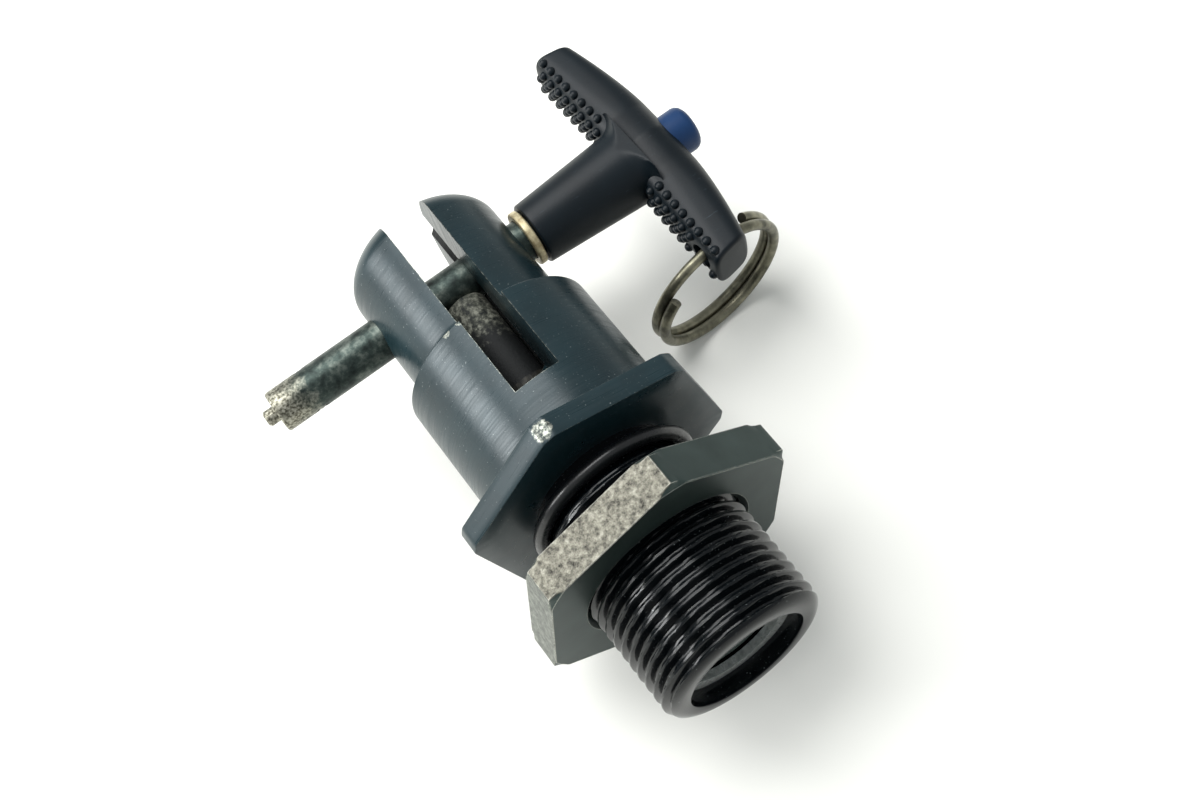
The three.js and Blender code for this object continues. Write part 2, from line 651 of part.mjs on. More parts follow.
function tHandle() {
  const hubX = BAR_INNER_X + BAR_DEPTH / 4;
  const neck = onPinAxis(
    turned([
      [0, HANDLE_X],
      [NECK_START_R - NECK_EDGE, HANDLE_X],
      [NECK_START_R, HANDLE_X + NECK_EDGE],
      [NECK_END_R, hubX - HUB_FILLET],
      ...arc(NECK_END_R + HUB_FILLET, hubX - HUB_FILLET, HUB_FILLET, 180, 90, ARC),
      [0, hubX],
    ], MEDIUM),
  );
  const keep = new THREE.BoxGeometry(2 * BAR_OUTER_X, 4 * BAR_REACH, 2 * NECK_END_R);
  keep.translate(BAR_OUTER_X, PIN_HEIGHT, 0);
  let handle = bar().add(neck.intersect(solid(keep)));
  for (const bead of beads()) handle = handle.add(bead);
  const bore = onPinAxis(disc(PIN_R + RUN, HANDLE_X - OVERLAP, CAVITY_BOTTOM_X + OVERLAP, MEDIUM));
  const cavity = onPinAxis(disc(CAVITY_R, CAVITY_BOTTOM_X, 2 * BAR_OUTER_X, MEDIUM));
  return handle.subtract(bore).subtract(cavity).subtract(eye());
}

// Staggered rows of beads round the side that the fingers pull, clear of the eye.
function beads() {
  const made = [];
  for (const arm of [-1, 1]) {
    for (let row = 0; row < BEAD_ROWS; row++) {
      const z = (row - (BEAD_ROWS - 1) / 2) * BEAD_ROW_PITCH;
      for (let i = 0; i < BEAD_COUNT; i++) {
        const along = arm * (BEAD_START + (i + (row % 2) / 2) * BEAD_PITCH);
        const y = PIN_HEIGHT + along;
        if (Math.abs(along) > BAR_REACH - BEAD_R) continue;
        if (Math.hypot(y - EYE_Y, z) < EYE_R + BEAD_R) continue;
        const { inner, outer, half, power } = barSection(along);
        const depth = ((outer - inner) / 2) * (1 - Math.abs(z / half) ** power) ** (1 / power);
        const ball = new THREE.SphereGeometry(BEAD_R, ...BEAD_FACETS);
        ball.translate((inner + outer) / 2 - depth, y, z);
        made.push(solid(ball));
      }
    }
  }
  return made;
}

function eye() {
  const hole = disc(EYE_R, BAR_INNER_X - OVERLAP, BAR_OUTER_X + OVERLAP, SMALL);
  const toX = new THREE.Matrix4().makeRotationZ(-Math.PI / 2);
  toX.premultiply(new THREE.Matrix4().makeTranslation(0, EYE_Y, 0));
  return hole.transform(toX.elements);
}

function pushButton() {
  const bore = SPINDLE_R + RUN;
  return onPinAxis(
    turned([
      [bore, BUTTON_BOTTOM_X],
      [BUTTON_R, BUTTON_BOTTOM_X],
      ...arc(BUTTON_R - BUTTON_EDGE, BUTTON_TOP_X - BUTTON_EDGE, BUTTON_EDGE, 0, 90, ARC),
      [0, BUTTON_TOP_X],
      [0, BUTTON_BOTTOM_X + SPINDLE_GRIP + SEAT_GAP],
      [bore, BUTTON_BOTTOM_X + SPINDLE_GRIP + SEAT_GAP],
    ], MEDIUM),
  );
}

function spindleSpring() {
  const low = CAVITY_BOTTOM_X + SEAT_GAP + BUTTON_WIRE_R;
  const high = BUTTON_BOTTOM_X - SEAT_GAP - BUTTON_WIRE_R;
  const wire = [BUTTON_SPRING_R, BUTTON_WIRE_R, low, high, BUTTON_SPRING_TURNS, BUTTON_SPRING_STEPS];
  return onPinAxis(helicalWire(...wire, WIRE_SIDES));
}

// Close coils of wire, threaded through the bar's eye and hanging down from it.
function splitRing() {
  const pitch = 2 * SPLIT_WIRE_R + SPLIT_GAP;
  const count = Math.round(SPLIT_TURNS * SPLIT_STEPS);
  const curve = new THREE.CatmullRomCurve3(
    Array.from({ length: count + 1 }, (_, i) => {
      const turn = (i / count) * SPLIT_TURNS;
      const angle = THREE.MathUtils.degToRad(SPLIT_START) + turn * 2 * Math.PI;
      const across = (SPLIT_TURNS / 2 - turn) * pitch;
      return new THREE.Vector3(SPLIT_R * Math.sin(angle), across, SPLIT_R * Math.cos(angle));
    }),
  );
  const place = new THREE.Matrix4().makeTranslation(EYE_X + SPLIT_OFFSET, EYE_Y, 0);
  place.multiply(new THREE.Matrix4().makeRotationX(THREE.MathUtils.degToRad(SPLIT_LEAN)));
  place.multiply(new THREE.Matrix4().makeRotationZ(THREE.MathUtils.degToRad(SPLIT_YAW)));
  place.multiply(new THREE.Matrix4().makeTranslation(0, 0, SPLIT_LIFT - SPLIT_R));
  return wireAlong(curve, SPLIT_WIRE_R, count, RING_SIDES).transform(place.elements);
}

// ---- Assembly -------------------------------------------------------------------------------

const ANODISED = { color: 0x15191c, roughness: 0.35, metalness: 0.6 };
const STEEL = { color: 0x8f8d88, roughness: 0.4, metalness: 1 };
const RUBBER = { color: 0x1b1b1c, roughness: 0.8, metalness: 0 };
const BRASS = { color: 0xb08d4f, roughness: 0.35, metalness: 1 };
const PLASTIC = { color: 0x10141c, roughness: 0.5, metalness: 0 };
const BLUE = { color: 0x1c3f9e, roughness: 0.45, metalness: 0 };

const valve = new THREE.Group();
const head = new THREE.Group(); // what stays with the body
const plunger = new THREE.Group(); // what moves with the stem
const pin = new THREE.Group(); // what is pulled out with the handle
valve.add(head, plunger, pin);

function addPart(group, name, body, finish) {
  const mesh = new THREE.Mesh(geometryOf(body), new THREE.MeshStandardMaterial(finish));
  mesh.name = name;
  group.add(mesh);
}

addPart(head, "valve_body", valveBody(), ANODISED);
addPart(head, "flange_o_ring", flangeORing(), RUBBER);
addPart(head, "guide_bush", guideBush(), BRASS);
addPart(head, "seat_insert", seatInsert(), STEEL);
addPart(head, "seat_o_ring", seatORing(), RUBBER);
addPart(head, "retaining_ring", retainingRing(), STEEL);
addPart(head, "jam_nut", jamNut(), ANODISED);

addPart(plunger, "plunger_stem", plungerStem(), STEEL);
addPart(plunger, "spring_clip", springClip(), STEEL);
addPart(plunger, "lift_spring", liftSpring(), STEEL);
addPart(plunger, "poppet", poppet(), ANODISED);
addPart(plunger, "poppet_seal", poppetSeal(), RUBBER);
addPart(plunger, "poppet_screw", poppetScrew(), STEEL);

addPart(pin, "pin_collar", pinCollar(), BRASS);
addPart(pin, "pin_shank", pinShank(), STEEL);
addPart(pin, "spindle", spindle(), STEEL);
addPart(pin, "locking_ball_front", lockingBall(-1), STEEL);
addPart(pin, "locking_ball_rear", lockingBall(1), STEEL);
addPart(pin, "t_handle", tHandle(), PLASTIC);
addPart(pin, "push_button", pushButton(), BLUE);
addPart(pin, "spindle_spring", spindleSpring(), STEEL);
addPart(pin, "split_ring", splitRing(), STEEL);

export default valve;
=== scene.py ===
# %% [markdown]
# # A panel-mounted valve with a quick-release pin
# The valve is a turned and anodised aluminium body: a threaded shank, a hexagonal flange, a barrel and
# a domed head with a slot cut down through it. A steel pin with a plastic T-handle crosses the head.
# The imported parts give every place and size. This script lays finer surfaces over the ones that show,
# and gives every part a finish. All lengths are in millimetres until the moment a mesh is made.

# %% Load the frame
import math

import bmesh
import bpy
import numpy as np
from mathutils import Matrix, Vector


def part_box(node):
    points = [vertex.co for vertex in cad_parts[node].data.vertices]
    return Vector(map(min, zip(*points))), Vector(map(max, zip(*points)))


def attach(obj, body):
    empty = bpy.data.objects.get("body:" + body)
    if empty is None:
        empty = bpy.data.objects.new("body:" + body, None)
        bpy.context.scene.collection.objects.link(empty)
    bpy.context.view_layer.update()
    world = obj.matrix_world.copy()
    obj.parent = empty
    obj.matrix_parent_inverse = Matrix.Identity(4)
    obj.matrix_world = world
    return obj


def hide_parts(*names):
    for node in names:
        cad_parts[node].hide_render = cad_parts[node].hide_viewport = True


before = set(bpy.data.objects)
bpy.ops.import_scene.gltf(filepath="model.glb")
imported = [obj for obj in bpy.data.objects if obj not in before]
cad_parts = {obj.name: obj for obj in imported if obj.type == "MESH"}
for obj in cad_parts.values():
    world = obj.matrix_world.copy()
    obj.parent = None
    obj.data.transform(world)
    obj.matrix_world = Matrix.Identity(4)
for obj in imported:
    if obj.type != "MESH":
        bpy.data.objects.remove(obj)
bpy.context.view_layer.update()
MM = 0.001
print("nodes:", len(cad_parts))

# %% [markdown]
# ## Helpers for surfaces
# A surface is a grid of points worked out as one array: rows along one parameter, columns along the
# other. Faces join neighbours. Rows or columns that close on themselves are joined round, and points
# that fall together, as at a pole, are merged, so that the skin has no hole.


# %% Make a mesh from a grid of points
def piece_from_grid(name, grid, close_rows=True, close_columns=True, sharp=35):
    """Quads between neighbours of grid[row, column, xyz] in mm: (i, j), (i, j+1), (i+1, j+1), (i+1, j)."""
    rows, columns = grid.shape[:2]
    row = np.arange(rows if close_rows else rows - 1)
    column = np.arange(columns if close_columns else columns - 1)
    i, j = np.meshgrid(row, column, indexing="ij")
    i2, j2 = (i + 1) % rows, (j + 1) % columns
    quads = np.stack([i * columns + j, i * columns + j2, i2 * columns + j2, i2 * columns + j], -1)
    mesh = bpy.data.meshes.new(name)
    mesh.from_pydata((grid.reshape(-1, 3) * MM).tolist(), [], quads.reshape(-1, 4).tolist())
    return finish_mesh(name, mesh, sharp)


def finish_mesh(name, mesh, sharp):
    """Merge doubled points, point every face outwards and smooth the shading below the sharp angle."""
    work = bmesh.new()
    work.from_mesh(mesh)
    bmesh.ops.remove_doubles(work, verts=work.verts, dist=1e-7)
    bmesh.ops.dissolve_degenerate(work, edges=work.edges, dist=1e-8)
    bmesh.ops.recalc_face_normals(work, faces=work.faces)
    work.to_mesh(mesh)
    work.free()
    mesh.shade_smooth()
    mesh.set_sharp_from_angle(angle=math.radians(sharp))
    piece = bpy.data.objects.new(name, mesh)
    bpy.context.scene.collection.objects.link(piece)
    return piece


def rounded(corners, steps=4):
    """Replace each [r, y, fillet] corner of a closed outline by an arc: tangent points at
    fillet / tan(half the angle) from the corner, and points swung evenly between them."""
    points = []
    for k, (r, y, fillet) in enumerate(corners):
        here = np.array([r, y])
        back = np.array(corners[k - 1][:2]) - here
        ahead = np.array(corners[(k + 1) % len(corners)][:2]) - here
        if fillet == 0:
            points.append(here)
            continue
        a, b = back / np.linalg.norm(back), ahead / np.linalg.norm(ahead)
        half = math.acos(np.clip(a @ b, -1, 1)) / 2
        middle = here + (a + b) / np.linalg.norm(a + b) * fillet / math.sin(half)
        start = here + a * fillet / math.tan(half) - middle
        end = here + b * fillet / math.tan(half) - middle
        t = np.linspace(0, 1, steps + 1)[:, None]
        swing = math.pi - 2 * half
        arc = (np.sin((1 - t) * swing) * start + np.sin(t * swing) * end) / math.sin(swing)
        points.extend(middle + arc)
    return np.array(points)


def densified(outline, longest):
    """Add points along a closed outline so that no stretch is longer than a given length."""
    following = np.roll(outline, -1, axis=0)
    counts = np.ceil(np.linalg.norm(following - outline, axis=1) / longest).astype(int).clip(1)
    parts = [a + (b - a) * np.linspace(0, 1, n, endpoint=False)[:, None]
             for a, b, n in zip(outline, following, counts)]
    return np.concatenate(parts)


def revolved(outline, columns):
    """Turn an [r, y] outline round the Y axis: x = r cos a, z = r sin a."""
    angle = np.linspace(0, 2 * np.pi, columns, endpoint=False)
    r, y = outline[:, :1], outline[:, 1:]
    return np.stack([r * np.cos(angle), y + 0 * angle, r * np.sin(angle)], -1)


def on_pin(grid):
    """Lay a surface made about Y along the pin: (x, y, z) becomes (y, pin height - x, z)."""
    return np.stack([grid[..., 1], PIN_HEIGHT - grid[..., 0], grid[..., 2]], -1)


def hexagon_radius(angle, across_flats, corner_radius, turn):
    """Distance to a hexagon's edge at an angle: half the flats / cos(angle from the nearest flat's
    middle), never past the circle that trims the corners."""
    from_flat = (angle - turn) % (np.pi / 3) - np.pi / 6
    return np.minimum(across_flats / 2 / np.cos(from_flat), corner_radius)


def box_mm(node):
    """A node's lowest and highest corner: its box in metres / the millimetre."""
    low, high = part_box(node)
    return np.array(low) / MM, np.array(high) / MM


# %% [markdown]
# ## Sizes
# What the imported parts' boxes can tell is read from them: where the pin lies, how long the shank is.
# The rest are the drawing's own values. The thread is 1-3/16 in with 12 turns to the inch, and both
# hexagons are near 1-3/4 in across their flats. RUN is the gap between parts that slide in each other.

# %% Driving sizes, in mm
body_low = box_mm("valve_body")[0]
nut_low, nut_high = box_mm("jam_nut")
pin_low, pin_high = box_mm("pin_shank")
collar_low, collar_high = box_mm("pin_collar")
handle_low, handle_high = box_mm("t_handle")
button_low, button_high = box_mm("push_button")
mouth_ring_high = box_mm("retaining_ring")[1]
poppet_low, poppet_high = box_mm("poppet")
stem_low, stem_high = box_mm("plunger_stem")

PIN_HEIGHT = (pin_low[1] + pin_high[1]) / 2
PIN_R = (pin_high[1] - pin_low[1]) / 2
SHANK_LENGTH = -body_low[1]
THREAD_R = 15.08
THREAD_PITCH = 2.117
THREAD_DEPTH = 1.15
THREAD_TOP = 6.3
SHANK_END_R = 12.5
THREAD_END_LENGTH = 2.2
RELIEF_R = 13.15
MOUTH_R = 10.97
MOUTH_DEPTH = 3.3
CHAMBER_R = 9.9
FLANGE_AF = 44.6
FLANGE_T = 4.2
FLANGE_CORNER_R = 25.1
FLANGE_TURN = 12.9
FLANGE_EDGE = 0.14
BARREL_R = 18.2
BARREL_TOP = 30.6
SHOULDER_FILLET = 2.4
NECK_R = 15.0
DOME_BASE = 54.0
DOME_HEIGHT = 8.0
SLOT_WIDTH = 8.5
SLOT_BOTTOM = 13.7
SLOT_CUTTER_R = 22.2
SLOT_CUTTER_PAST = 1.0
VENT_R = 1.9
VENT_Z = -8.2
VENT_TOP = 21.5
FORK_BORE_R = 5.4
CHAMBER_TOP = 3.5
NUT_AF = 45.0
NUT_CORNER_R = 25.9
NUT_TURN = -9.9
NUT_CHAMFER = 1.2
RUN = 0.06
print("pin at height", round(PIN_HEIGHT, 2), "radius", round(PIN_R, 2))

# %% [markdown]
# ## The camera
# It looks down on the valve as it lies, from the shank's end and the pin's tip, so it is placed by its
# position and its three own axes. The floor and the lamps come last, when the object is there.

# %% Camera
camera_data = bpy.data.cameras.new("camera")
camera_data.lens = 50.55
camera_data.sensor_width = 36.0
camera = bpy.data.objects.new("camera", camera_data)
bpy.context.scene.collection.objects.link(camera)
right = Vector((0.80367, -0.57521, -0.15249)).normalized()
back = Vector((-0.13841, -0.42991, 0.89220)).normalized()
up = back.cross(right)
turn = Matrix((right, up, back)).transposed().to_4x4()
camera.matrix_world = Matrix.Translation((-0.03132, -0.11043, 0.25481)) @ turn
bpy.context.scene.camera = camera

# %% [markdown]
# ## Helpers for finishes
# Each finish is a small node tree. Colours are written as sRGB hex values, as a paint chart gives
# them, and one function turns them into the linear light that the shader works in. One function adds a
# node, sets it up and links it. Patterns are sized by the real width of one feature in millimetres.


# %% Colours, scales and nodes
def linear(hex_colour):
    """sRGB to linear: c / 12.92 below 0.04045, else ((c + 0.055) / 1.055) ** 2.4."""
    c = np.array([int(hex_colour[k:k + 2], 16) / 255 for k in (1, 3, 5)])
    light = np.where(c <= 0.04045, c / 12.92, ((c + 0.055) / 1.055) ** 2.4)
    return (*light, 1.0)


def per(width):
    """The pattern scale that makes one feature this many mm wide on Object coordinates."""
    return 1 / (width * MM)


def add(tree, kind, inputs=None, **settings):
    """Add a node, set its settings, and link or set each input, given by name or by number."""
    made = tree.nodes.new(kind)
    for key, value in settings.items():
        setattr(made, key, value)
    for key, value in (inputs or {}).items():
        if isinstance(value, bpy.types.NodeSocket):
            tree.links.new(value, made.inputs[key])
        else:
            made.inputs[key].default_value = value
    return made


def ramp(tree, value, stops, interpolation="LINEAR"):
    """A colour ramp through [position, colour] stops."""
    made = add(tree, "ShaderNodeValToRGB", {"Fac": value})
    made.color_ramp.interpolation = interpolation
    while len(made.color_ramp.elements) < len(stops):
        made.color_ramp.elements.new(0.5)
    for element, (position, colour) in zip(made.color_ramp.elements, stops):
        element.position = position
        element.color = linear(colour) if isinstance(colour, str) else (colour, colour, colour, 1)
    return made.outputs["Color"]


def new_finish(name):
    """A material with its own tree: the tree, its Object coordinates and its shader."""
    material = bpy.data.materials.new(name)
    material.use_nodes = True
    tree = material.node_tree
    tree.nodes.clear()
    coordinates = add(tree, "ShaderNodeTexCoord").outputs["Object"]
    shader = add(tree, "ShaderNodeBsdfPrincipled")
    add(tree, "ShaderNodeOutputMaterial", {"Surface": shader.outputs["BSDF"]})
    return material, tree, coordinates, shader


def worn_and_highlit_edges(tree, coordinates, width, grain):
    """1 on edges that handling has rubbed, which also stand as a painted highlight of rounded edges, 0
    elsewhere:
    the dot product of the surface's own direction and that of the same surface with its edges rounded, plus
    noise, read from 1 down to 0.93."""
    soft = add(tree, "ShaderNodeBevel", {"Radius": width * MM}, samples=6)
    own = add(tree, "ShaderNodeNewGeometry")
    same = add(tree, "ShaderNodeVectorMath", {0: soft.outputs["Normal"], 1: own.outputs["Normal"]},
               operation="DOT_PRODUCT")
    noise = add(tree, "ShaderNodeTexNoise", {"Vector": coordinates, "Scale": per(grain), "Detail": 6.0})
    uneven = add(tree, "ShaderNodeMath", {0: noise.outputs["Fac"], 1: 0.16}, operation="MULTIPLY")
    raised = add(tree, "ShaderNodeMath", {0: same.outputs["Value"], 1: uneven.outputs["Value"]},
                 operation="ADD")
    return add(tree, "ShaderNodeMapRange",
               {"Value": raised.outputs["Value"], "From Min": 1.0, "From Max": 0.93}).outputs["Result"]


def blend(tree, share, low, high):
    """Mix two colours, each a hex value or a link, by a share from 0 to 1."""
    ends = {key: linear(c) if isinstance(c, str) else c for key, c in ((6, low), (7, high))}
    mixed = add(tree, "ShaderNodeMix", {0: share, **ends}, data_type="RGBA")
    return mixed.outputs[2]


def bumped(tree, shader, height, depth, strength=1.0):
    """Tilt the shading as a height of that many mm would."""
    bump = add(tree, "ShaderNodeBump", {"Height": height, "Distance": depth * MM, "Strength": strength})
    tree.links.new(bump.outputs["Normal"], shader.inputs["Normal"])


# %% [markdown]
# ## Black anodised aluminium
# Anodising grows a thin dyed oxide on turned aluminium. It is nearly black with a cold teal cast, keeps
# the fine turning marks, and shines softly. Where an edge is rubbed through, bare metal shows bright, and
# the same bright edges are a painted highlight of rounded edges. The bore is painted darker: painted shade,
# with dirt.
# The turning marks are rings round the valve's axis, so they vary only along it.


# %% Anodised finish
def near_point(tree, coordinates, point, radius, ragged):
    """1 within a radius in mm of a point, fading at an edge broken up by a noise value."""
    away = add(tree, "ShaderNodeVectorMath", {0: coordinates, 1: [v * MM for v in point]},
               operation="DISTANCE")
    swung = add(tree, "ShaderNodeMath", {0: ragged, 1: -radius * MM, 2: away.outputs["Value"]},
                operation="MULTIPLY_ADD")
    return add(tree, "ShaderNodeMapRange", {"Value": swung.outputs["Value"], "From Min": 0.45 * radius * MM,
                                            "From Max": 0.35 * radius * MM}).outputs["Result"]


def anodised(name, colour="#0e1e22", lighter="#193036", roughness=0.32, marks=0.3, wear=0.3, depth=0.004,
             gloss=0.4, bare_spots=()):
    """Dyed oxide over turned metal. Two dark tones are mixed by cloudy noise, then pale dust specks,
    a bore painted darker as shade and dirt, and bare metal on worn edges (also a painted highlight of
    rounded edges) and bare spots. Noise stretched round the axis, one mark's width along it, is the
    turning: it varies the roughness and tilts the shading."""
    material, tree, coordinates, shader = new_finish(name)
    place = add(tree, "ShaderNodeSeparateXYZ", {"Vector": coordinates})
    stretched = add(tree, "ShaderNodeMapping", {"Vector": coordinates,
                                                "Scale": (per(11.0), per(marks), per(11.0))})
    along = add(tree, "ShaderNodeTexNoise", {"Vector": stretched.outputs["Vector"], "Scale": 1.0,
                                             "Detail": 5.0, "Roughness": 0.6})
    cloudy = add(tree, "ShaderNodeTexNoise", {"Vector": coordinates, "Scale": per(7.0), "Detail": 5.0})
    dusty = add(tree, "ShaderNodeTexNoise", {"Vector": coordinates, "Scale": per(0.35), "Detail": 3.0})
    base = blend(tree, cloudy.outputs["Fac"], colour, lighter)
    specks = add(tree, "ShaderNodeMapRange", {"Value": dusty.outputs["Fac"], "From Min": 0.68,
                                              "From Max": 0.76, "To Max": 0.7})
    base = blend(tree, specks.outputs["Result"], base, "#8a9291")
    # Within the bore's radius the colour is painted near-black: painted shade, with dirt.
    radial = add(tree, "ShaderNodeCombineXYZ", {"X": place.outputs["X"], "Z": place.outputs["Z"]})
    reach = add(tree, "ShaderNodeVectorMath", {0: radial.outputs["Vector"]}, operation="LENGTH")
    bore_shade_and_dirt = add(tree, "ShaderNodeMapRange", {"Value": reach.outputs["Value"],
                                              "From Min": (FORK_BORE_R + 0.1) * MM,
                                              "From Max": FORK_BORE_R * MM})
    base = blend(tree, bore_shade_and_dirt.outputs["Result"], base, "#0d1011")
    # Rubbed edges: bare metal, and also a painted highlight where a rounded edge would catch the light.
    edges = worn_and_highlit_edges(tree, coordinates, wear, 0.8)
    scuffed = add(tree, "ShaderNodeTexNoise", {"Vector": coordinates, "Scale": per(0.9), "Detail": 8.0,
                                               "Roughness": 0.75})
    for point, radius in bare_spots:
        spot = near_point(tree, coordinates, point, radius, scuffed.outputs["Fac"])
        edges = add(tree, "ShaderNodeMath", {0: edges, 1: spot}, operation="MAXIMUM").outputs["Value"]
    metal_tone = ramp(tree, scuffed.outputs["Fac"], [(0.42, "#1a2123"), (0.5, "#4b504b"), (0.6, "#94968d")])
    tree.links.new(blend(tree, edges, base, metal_tone), shader.inputs["Base Color"])
    shine = add(tree, "ShaderNodeMapRange", {"Value": along.outputs["Fac"], "From Min": 0.35,
                                             "From Max": 0.65, "To Min": roughness - 0.06,
                                             "To Max": roughness + 0.08})
    dull = add(tree, "ShaderNodeMath", {0: bore_shade_and_dirt.outputs["Result"], 1: 0.35, 2: shine.outputs["Result"]},
               operation="MULTIPLY_ADD")
    tree.links.new(dull.outputs["Value"], shader.inputs["Roughness"])
    metal = add(tree, "ShaderNodeMapRange", {"Value": edges, "To Min": 0.15, "To Max": 0.7})
    tree.links.new(metal.outputs["Result"], shader.inputs["Metallic"])
    shader.inputs["Specular IOR Level"].default_value = gloss
    bumped(tree, shader, along.outputs["Fac"], depth)
    return material


# Handling has rubbed the oxide off one corner of the flange and two places on the barrel's rim.
flange_corner = math.radians(90 + FLANGE_TURN)
corner_spot = (FLANGE_CORNER_R * math.cos(flange_corner), FLANGE_T / 2,
               FLANGE_CORNER_R * math.sin(flange_corner))
slot_edge_z = math.sqrt(BARREL_R ** 2 - (SLOT_WIDTH / 2) ** 2)
slot_edge_spot = (-SLOT_WIDTH / 2, BARREL_TOP, slot_edge_z)
rim_spot = (-7.2, BARREL_TOP, 16.8)
# Black anodised aluminium: nearly black with a cold cast, a soft shine, and bright rubbed edges that are
# also painted edge highlights.
body_finish = anodised("black_anodised_aluminium",
                       bare_spots=[(corner_spot, 1.9), (slot_edge_spot, 0.9), (rim_spot, 0.9)])
# The same oxide on the thread, polished by the nut: blacker, with sharp glints along the crests.
thread_finish = anodised("glossy_anodised_thread", "#04070a", "#090e11", 0.15, 0.9, 0.1, 0.0, 0.28)
print("finishes:", body_finish.name, thread_finish.name)

# %% [markdown]
# ## The head: barrel, neck and domed fork
# On a lathe the head is turned as one profile: barrel, a shoulder with a small inside fillet, the neck
# and the dome. A mill then cuts the slot, and drills cut the pin's hole. The same steps are followed
# here: a profile is revolved, and the way of a slotting disc, which leaves a curved floor, and the
# drills are subtracted from it by Boolean modifiers, which are then applied.


# %% Cut one mesh from another
def cut(piece, cutters, sharp=35):
    """Subtract each cutter from the piece in turn, apply the cuts and remove the cutters."""
    for cutter in cutters:
        modifier = piece.modifiers.new("cut", "BOOLEAN")
        modifier.operation = "DIFFERENCE"
        modifier.solver = "EXACT"
        modifier.object = cutter
    graph = bpy.context.evaluated_depsgraph_get()
    made = bpy.data.meshes.new_from_object(piece.evaluated_get(graph))
    piece.modifiers.clear()
    piece.data = made
    for cutter in cutters:
        bpy.data.objects.remove(cutter)
    made.shade_smooth()
    made.set_sharp_from_angle(angle=math.radians(sharp))
    return piece


def block(name, low, high):
    """A closed box between two corners, in mm."""
    corner = np.array([[x, y, z] for x in (0, 1) for y in (0, 1) for z in (0, 1)])
    points = np.array(low) + corner * (np.array(high) - np.array(low))
    faces = [(0, 1, 3, 2), (4, 6, 7, 5), (0, 4, 5, 1), (2, 3, 7, 6), (0, 2, 6, 4), (1, 5, 7, 3)]
    mesh = bpy.data.meshes.new(name)
    mesh.from_pydata((points * MM).tolist(), [], faces)
    return finish_mesh(name, mesh, 30)


def head_outline():
    """The head's closed profile: bore up, over the dome's quarter ellipse r = R cos t, y = base +
    height sin t, down the neck, round the shoulder and down the barrel."""
    mouth = math.acos(FORK_BORE_R / NECK_R)
    t = np.linspace(mouth, 0, 40)
    dome = np.stack([NECK_R * np.cos(t), DOME_BASE + DOME_HEIGHT * np.sin(t)], -1)
    lower = rounded([
        [NECK_R, BARREL_TOP, SHOULDER_FILLET],
        [BARREL_R, BARREL_TOP, 0.2],
        [BARREL_R, FLANGE_T / 2, 0],
        [FORK_BORE_R, CHAMBER_TOP, 0],
        [FORK_BORE_R, DOME_BASE, 0],
        [NECK_R, DOME_BASE, 0],
    ], 8)
    return densified(np.concatenate([dome, lower[:-2]]), 0.7)


def rod(radius, low, high):
    """The [r, y] outline of a plain cylinder."""
    return np.array([[0, low], [radius, low], [radius, high], [0, high]])


cutter_z = SLOT_CUTTER_R - SLOT_CUTTER_PAST
cutter_y = SLOT_BOTTOM + math.sqrt(SLOT_CUTTER_R ** 2 - (slot_edge_z - cutter_z) ** 2)
cutters = [block("slot_cutter", (-SLOT_WIDTH / 2, cutter_y, -2 * BARREL_R),
                 (SLOT_WIDTH / 2, 2 * DOME_BASE, 2 * BARREL_R))]
for side in (-1, 1):
    disc = on_pin(revolved(rod(SLOT_CUTTER_R, -SLOT_WIDTH / 2, SLOT_WIDTH / 2), 240))
    disc = disc + np.array([0, cutter_y - PIN_HEIGHT, side * cutter_z])
    cutters.append(piece_from_grid("disc_cutter", disc, close_rows=False))
hole = on_pin(revolved(rod(PIN_R + RUN, -2 * BARREL_R, 2 * BARREL_R), 96))
cutters.append(piece_from_grid("hole_cutter", hole, close_rows=False))
vent = revolved(rod(VENT_R, 0, VENT_TOP), 48) + np.array([0, 0, VENT_Z])
cutters.append(piece_from_grid("vent_cutter", vent, close_rows=False))
head = piece_from_grid("head_surface", revolved(head_outline(), 288))
cut(head, cutters)
head.data.materials.append(body_finish)
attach(head, "valve_body")
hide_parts("valve_body")
print("head faces:", len(head.data.polygons))

# %% [markdown]
# ## The hexagonal flange
# A hexagon's outline is a distance that depends only on the angle, so a flange is a grid too: each row
# is the outline drawn in by the amount of the chamfer at that height, and the inner rows shrink to the
# circle where the shank starts. A column falls on every corner, which keeps the corners crisp.


# %% Hexagonal rings
def hexagonal(across_flats, corner_radius, turn, rows, columns=360):
    """rows are [y, inset, trim, inner]: at height y the hexagon is drawn in by inset and trimmed by a
    circle trim smaller than the corners' circle; where inner is given, the row is that circle."""
    start = math.radians(90 + turn)
    angle = start + np.linspace(0, 2 * np.pi, columns, endpoint=False)
    grid = []
    for y, inset, trim, inner in rows:
        reach = hexagon_radius(angle, across_flats - 2 * inset, corner_radius - trim - inset, start)
        r = reach if inner is None else np.full(columns, inner)
        grid.append(np.stack([r * np.cos(angle), np.full(columns, y), r * np.sin(angle)], -1))
    return np.array(grid)


def spread(grid, rows, steps):
    """Repeat a closed grid's rows with more rows laid evenly between each pair."""
    following = np.roll(grid, -1, axis=0)
    share = (np.arange(steps) / steps)[None, :, None, None]
    return (grid[:, None] * (1 - share) + following[:, None] * share).reshape(rows * steps, -1, 3)


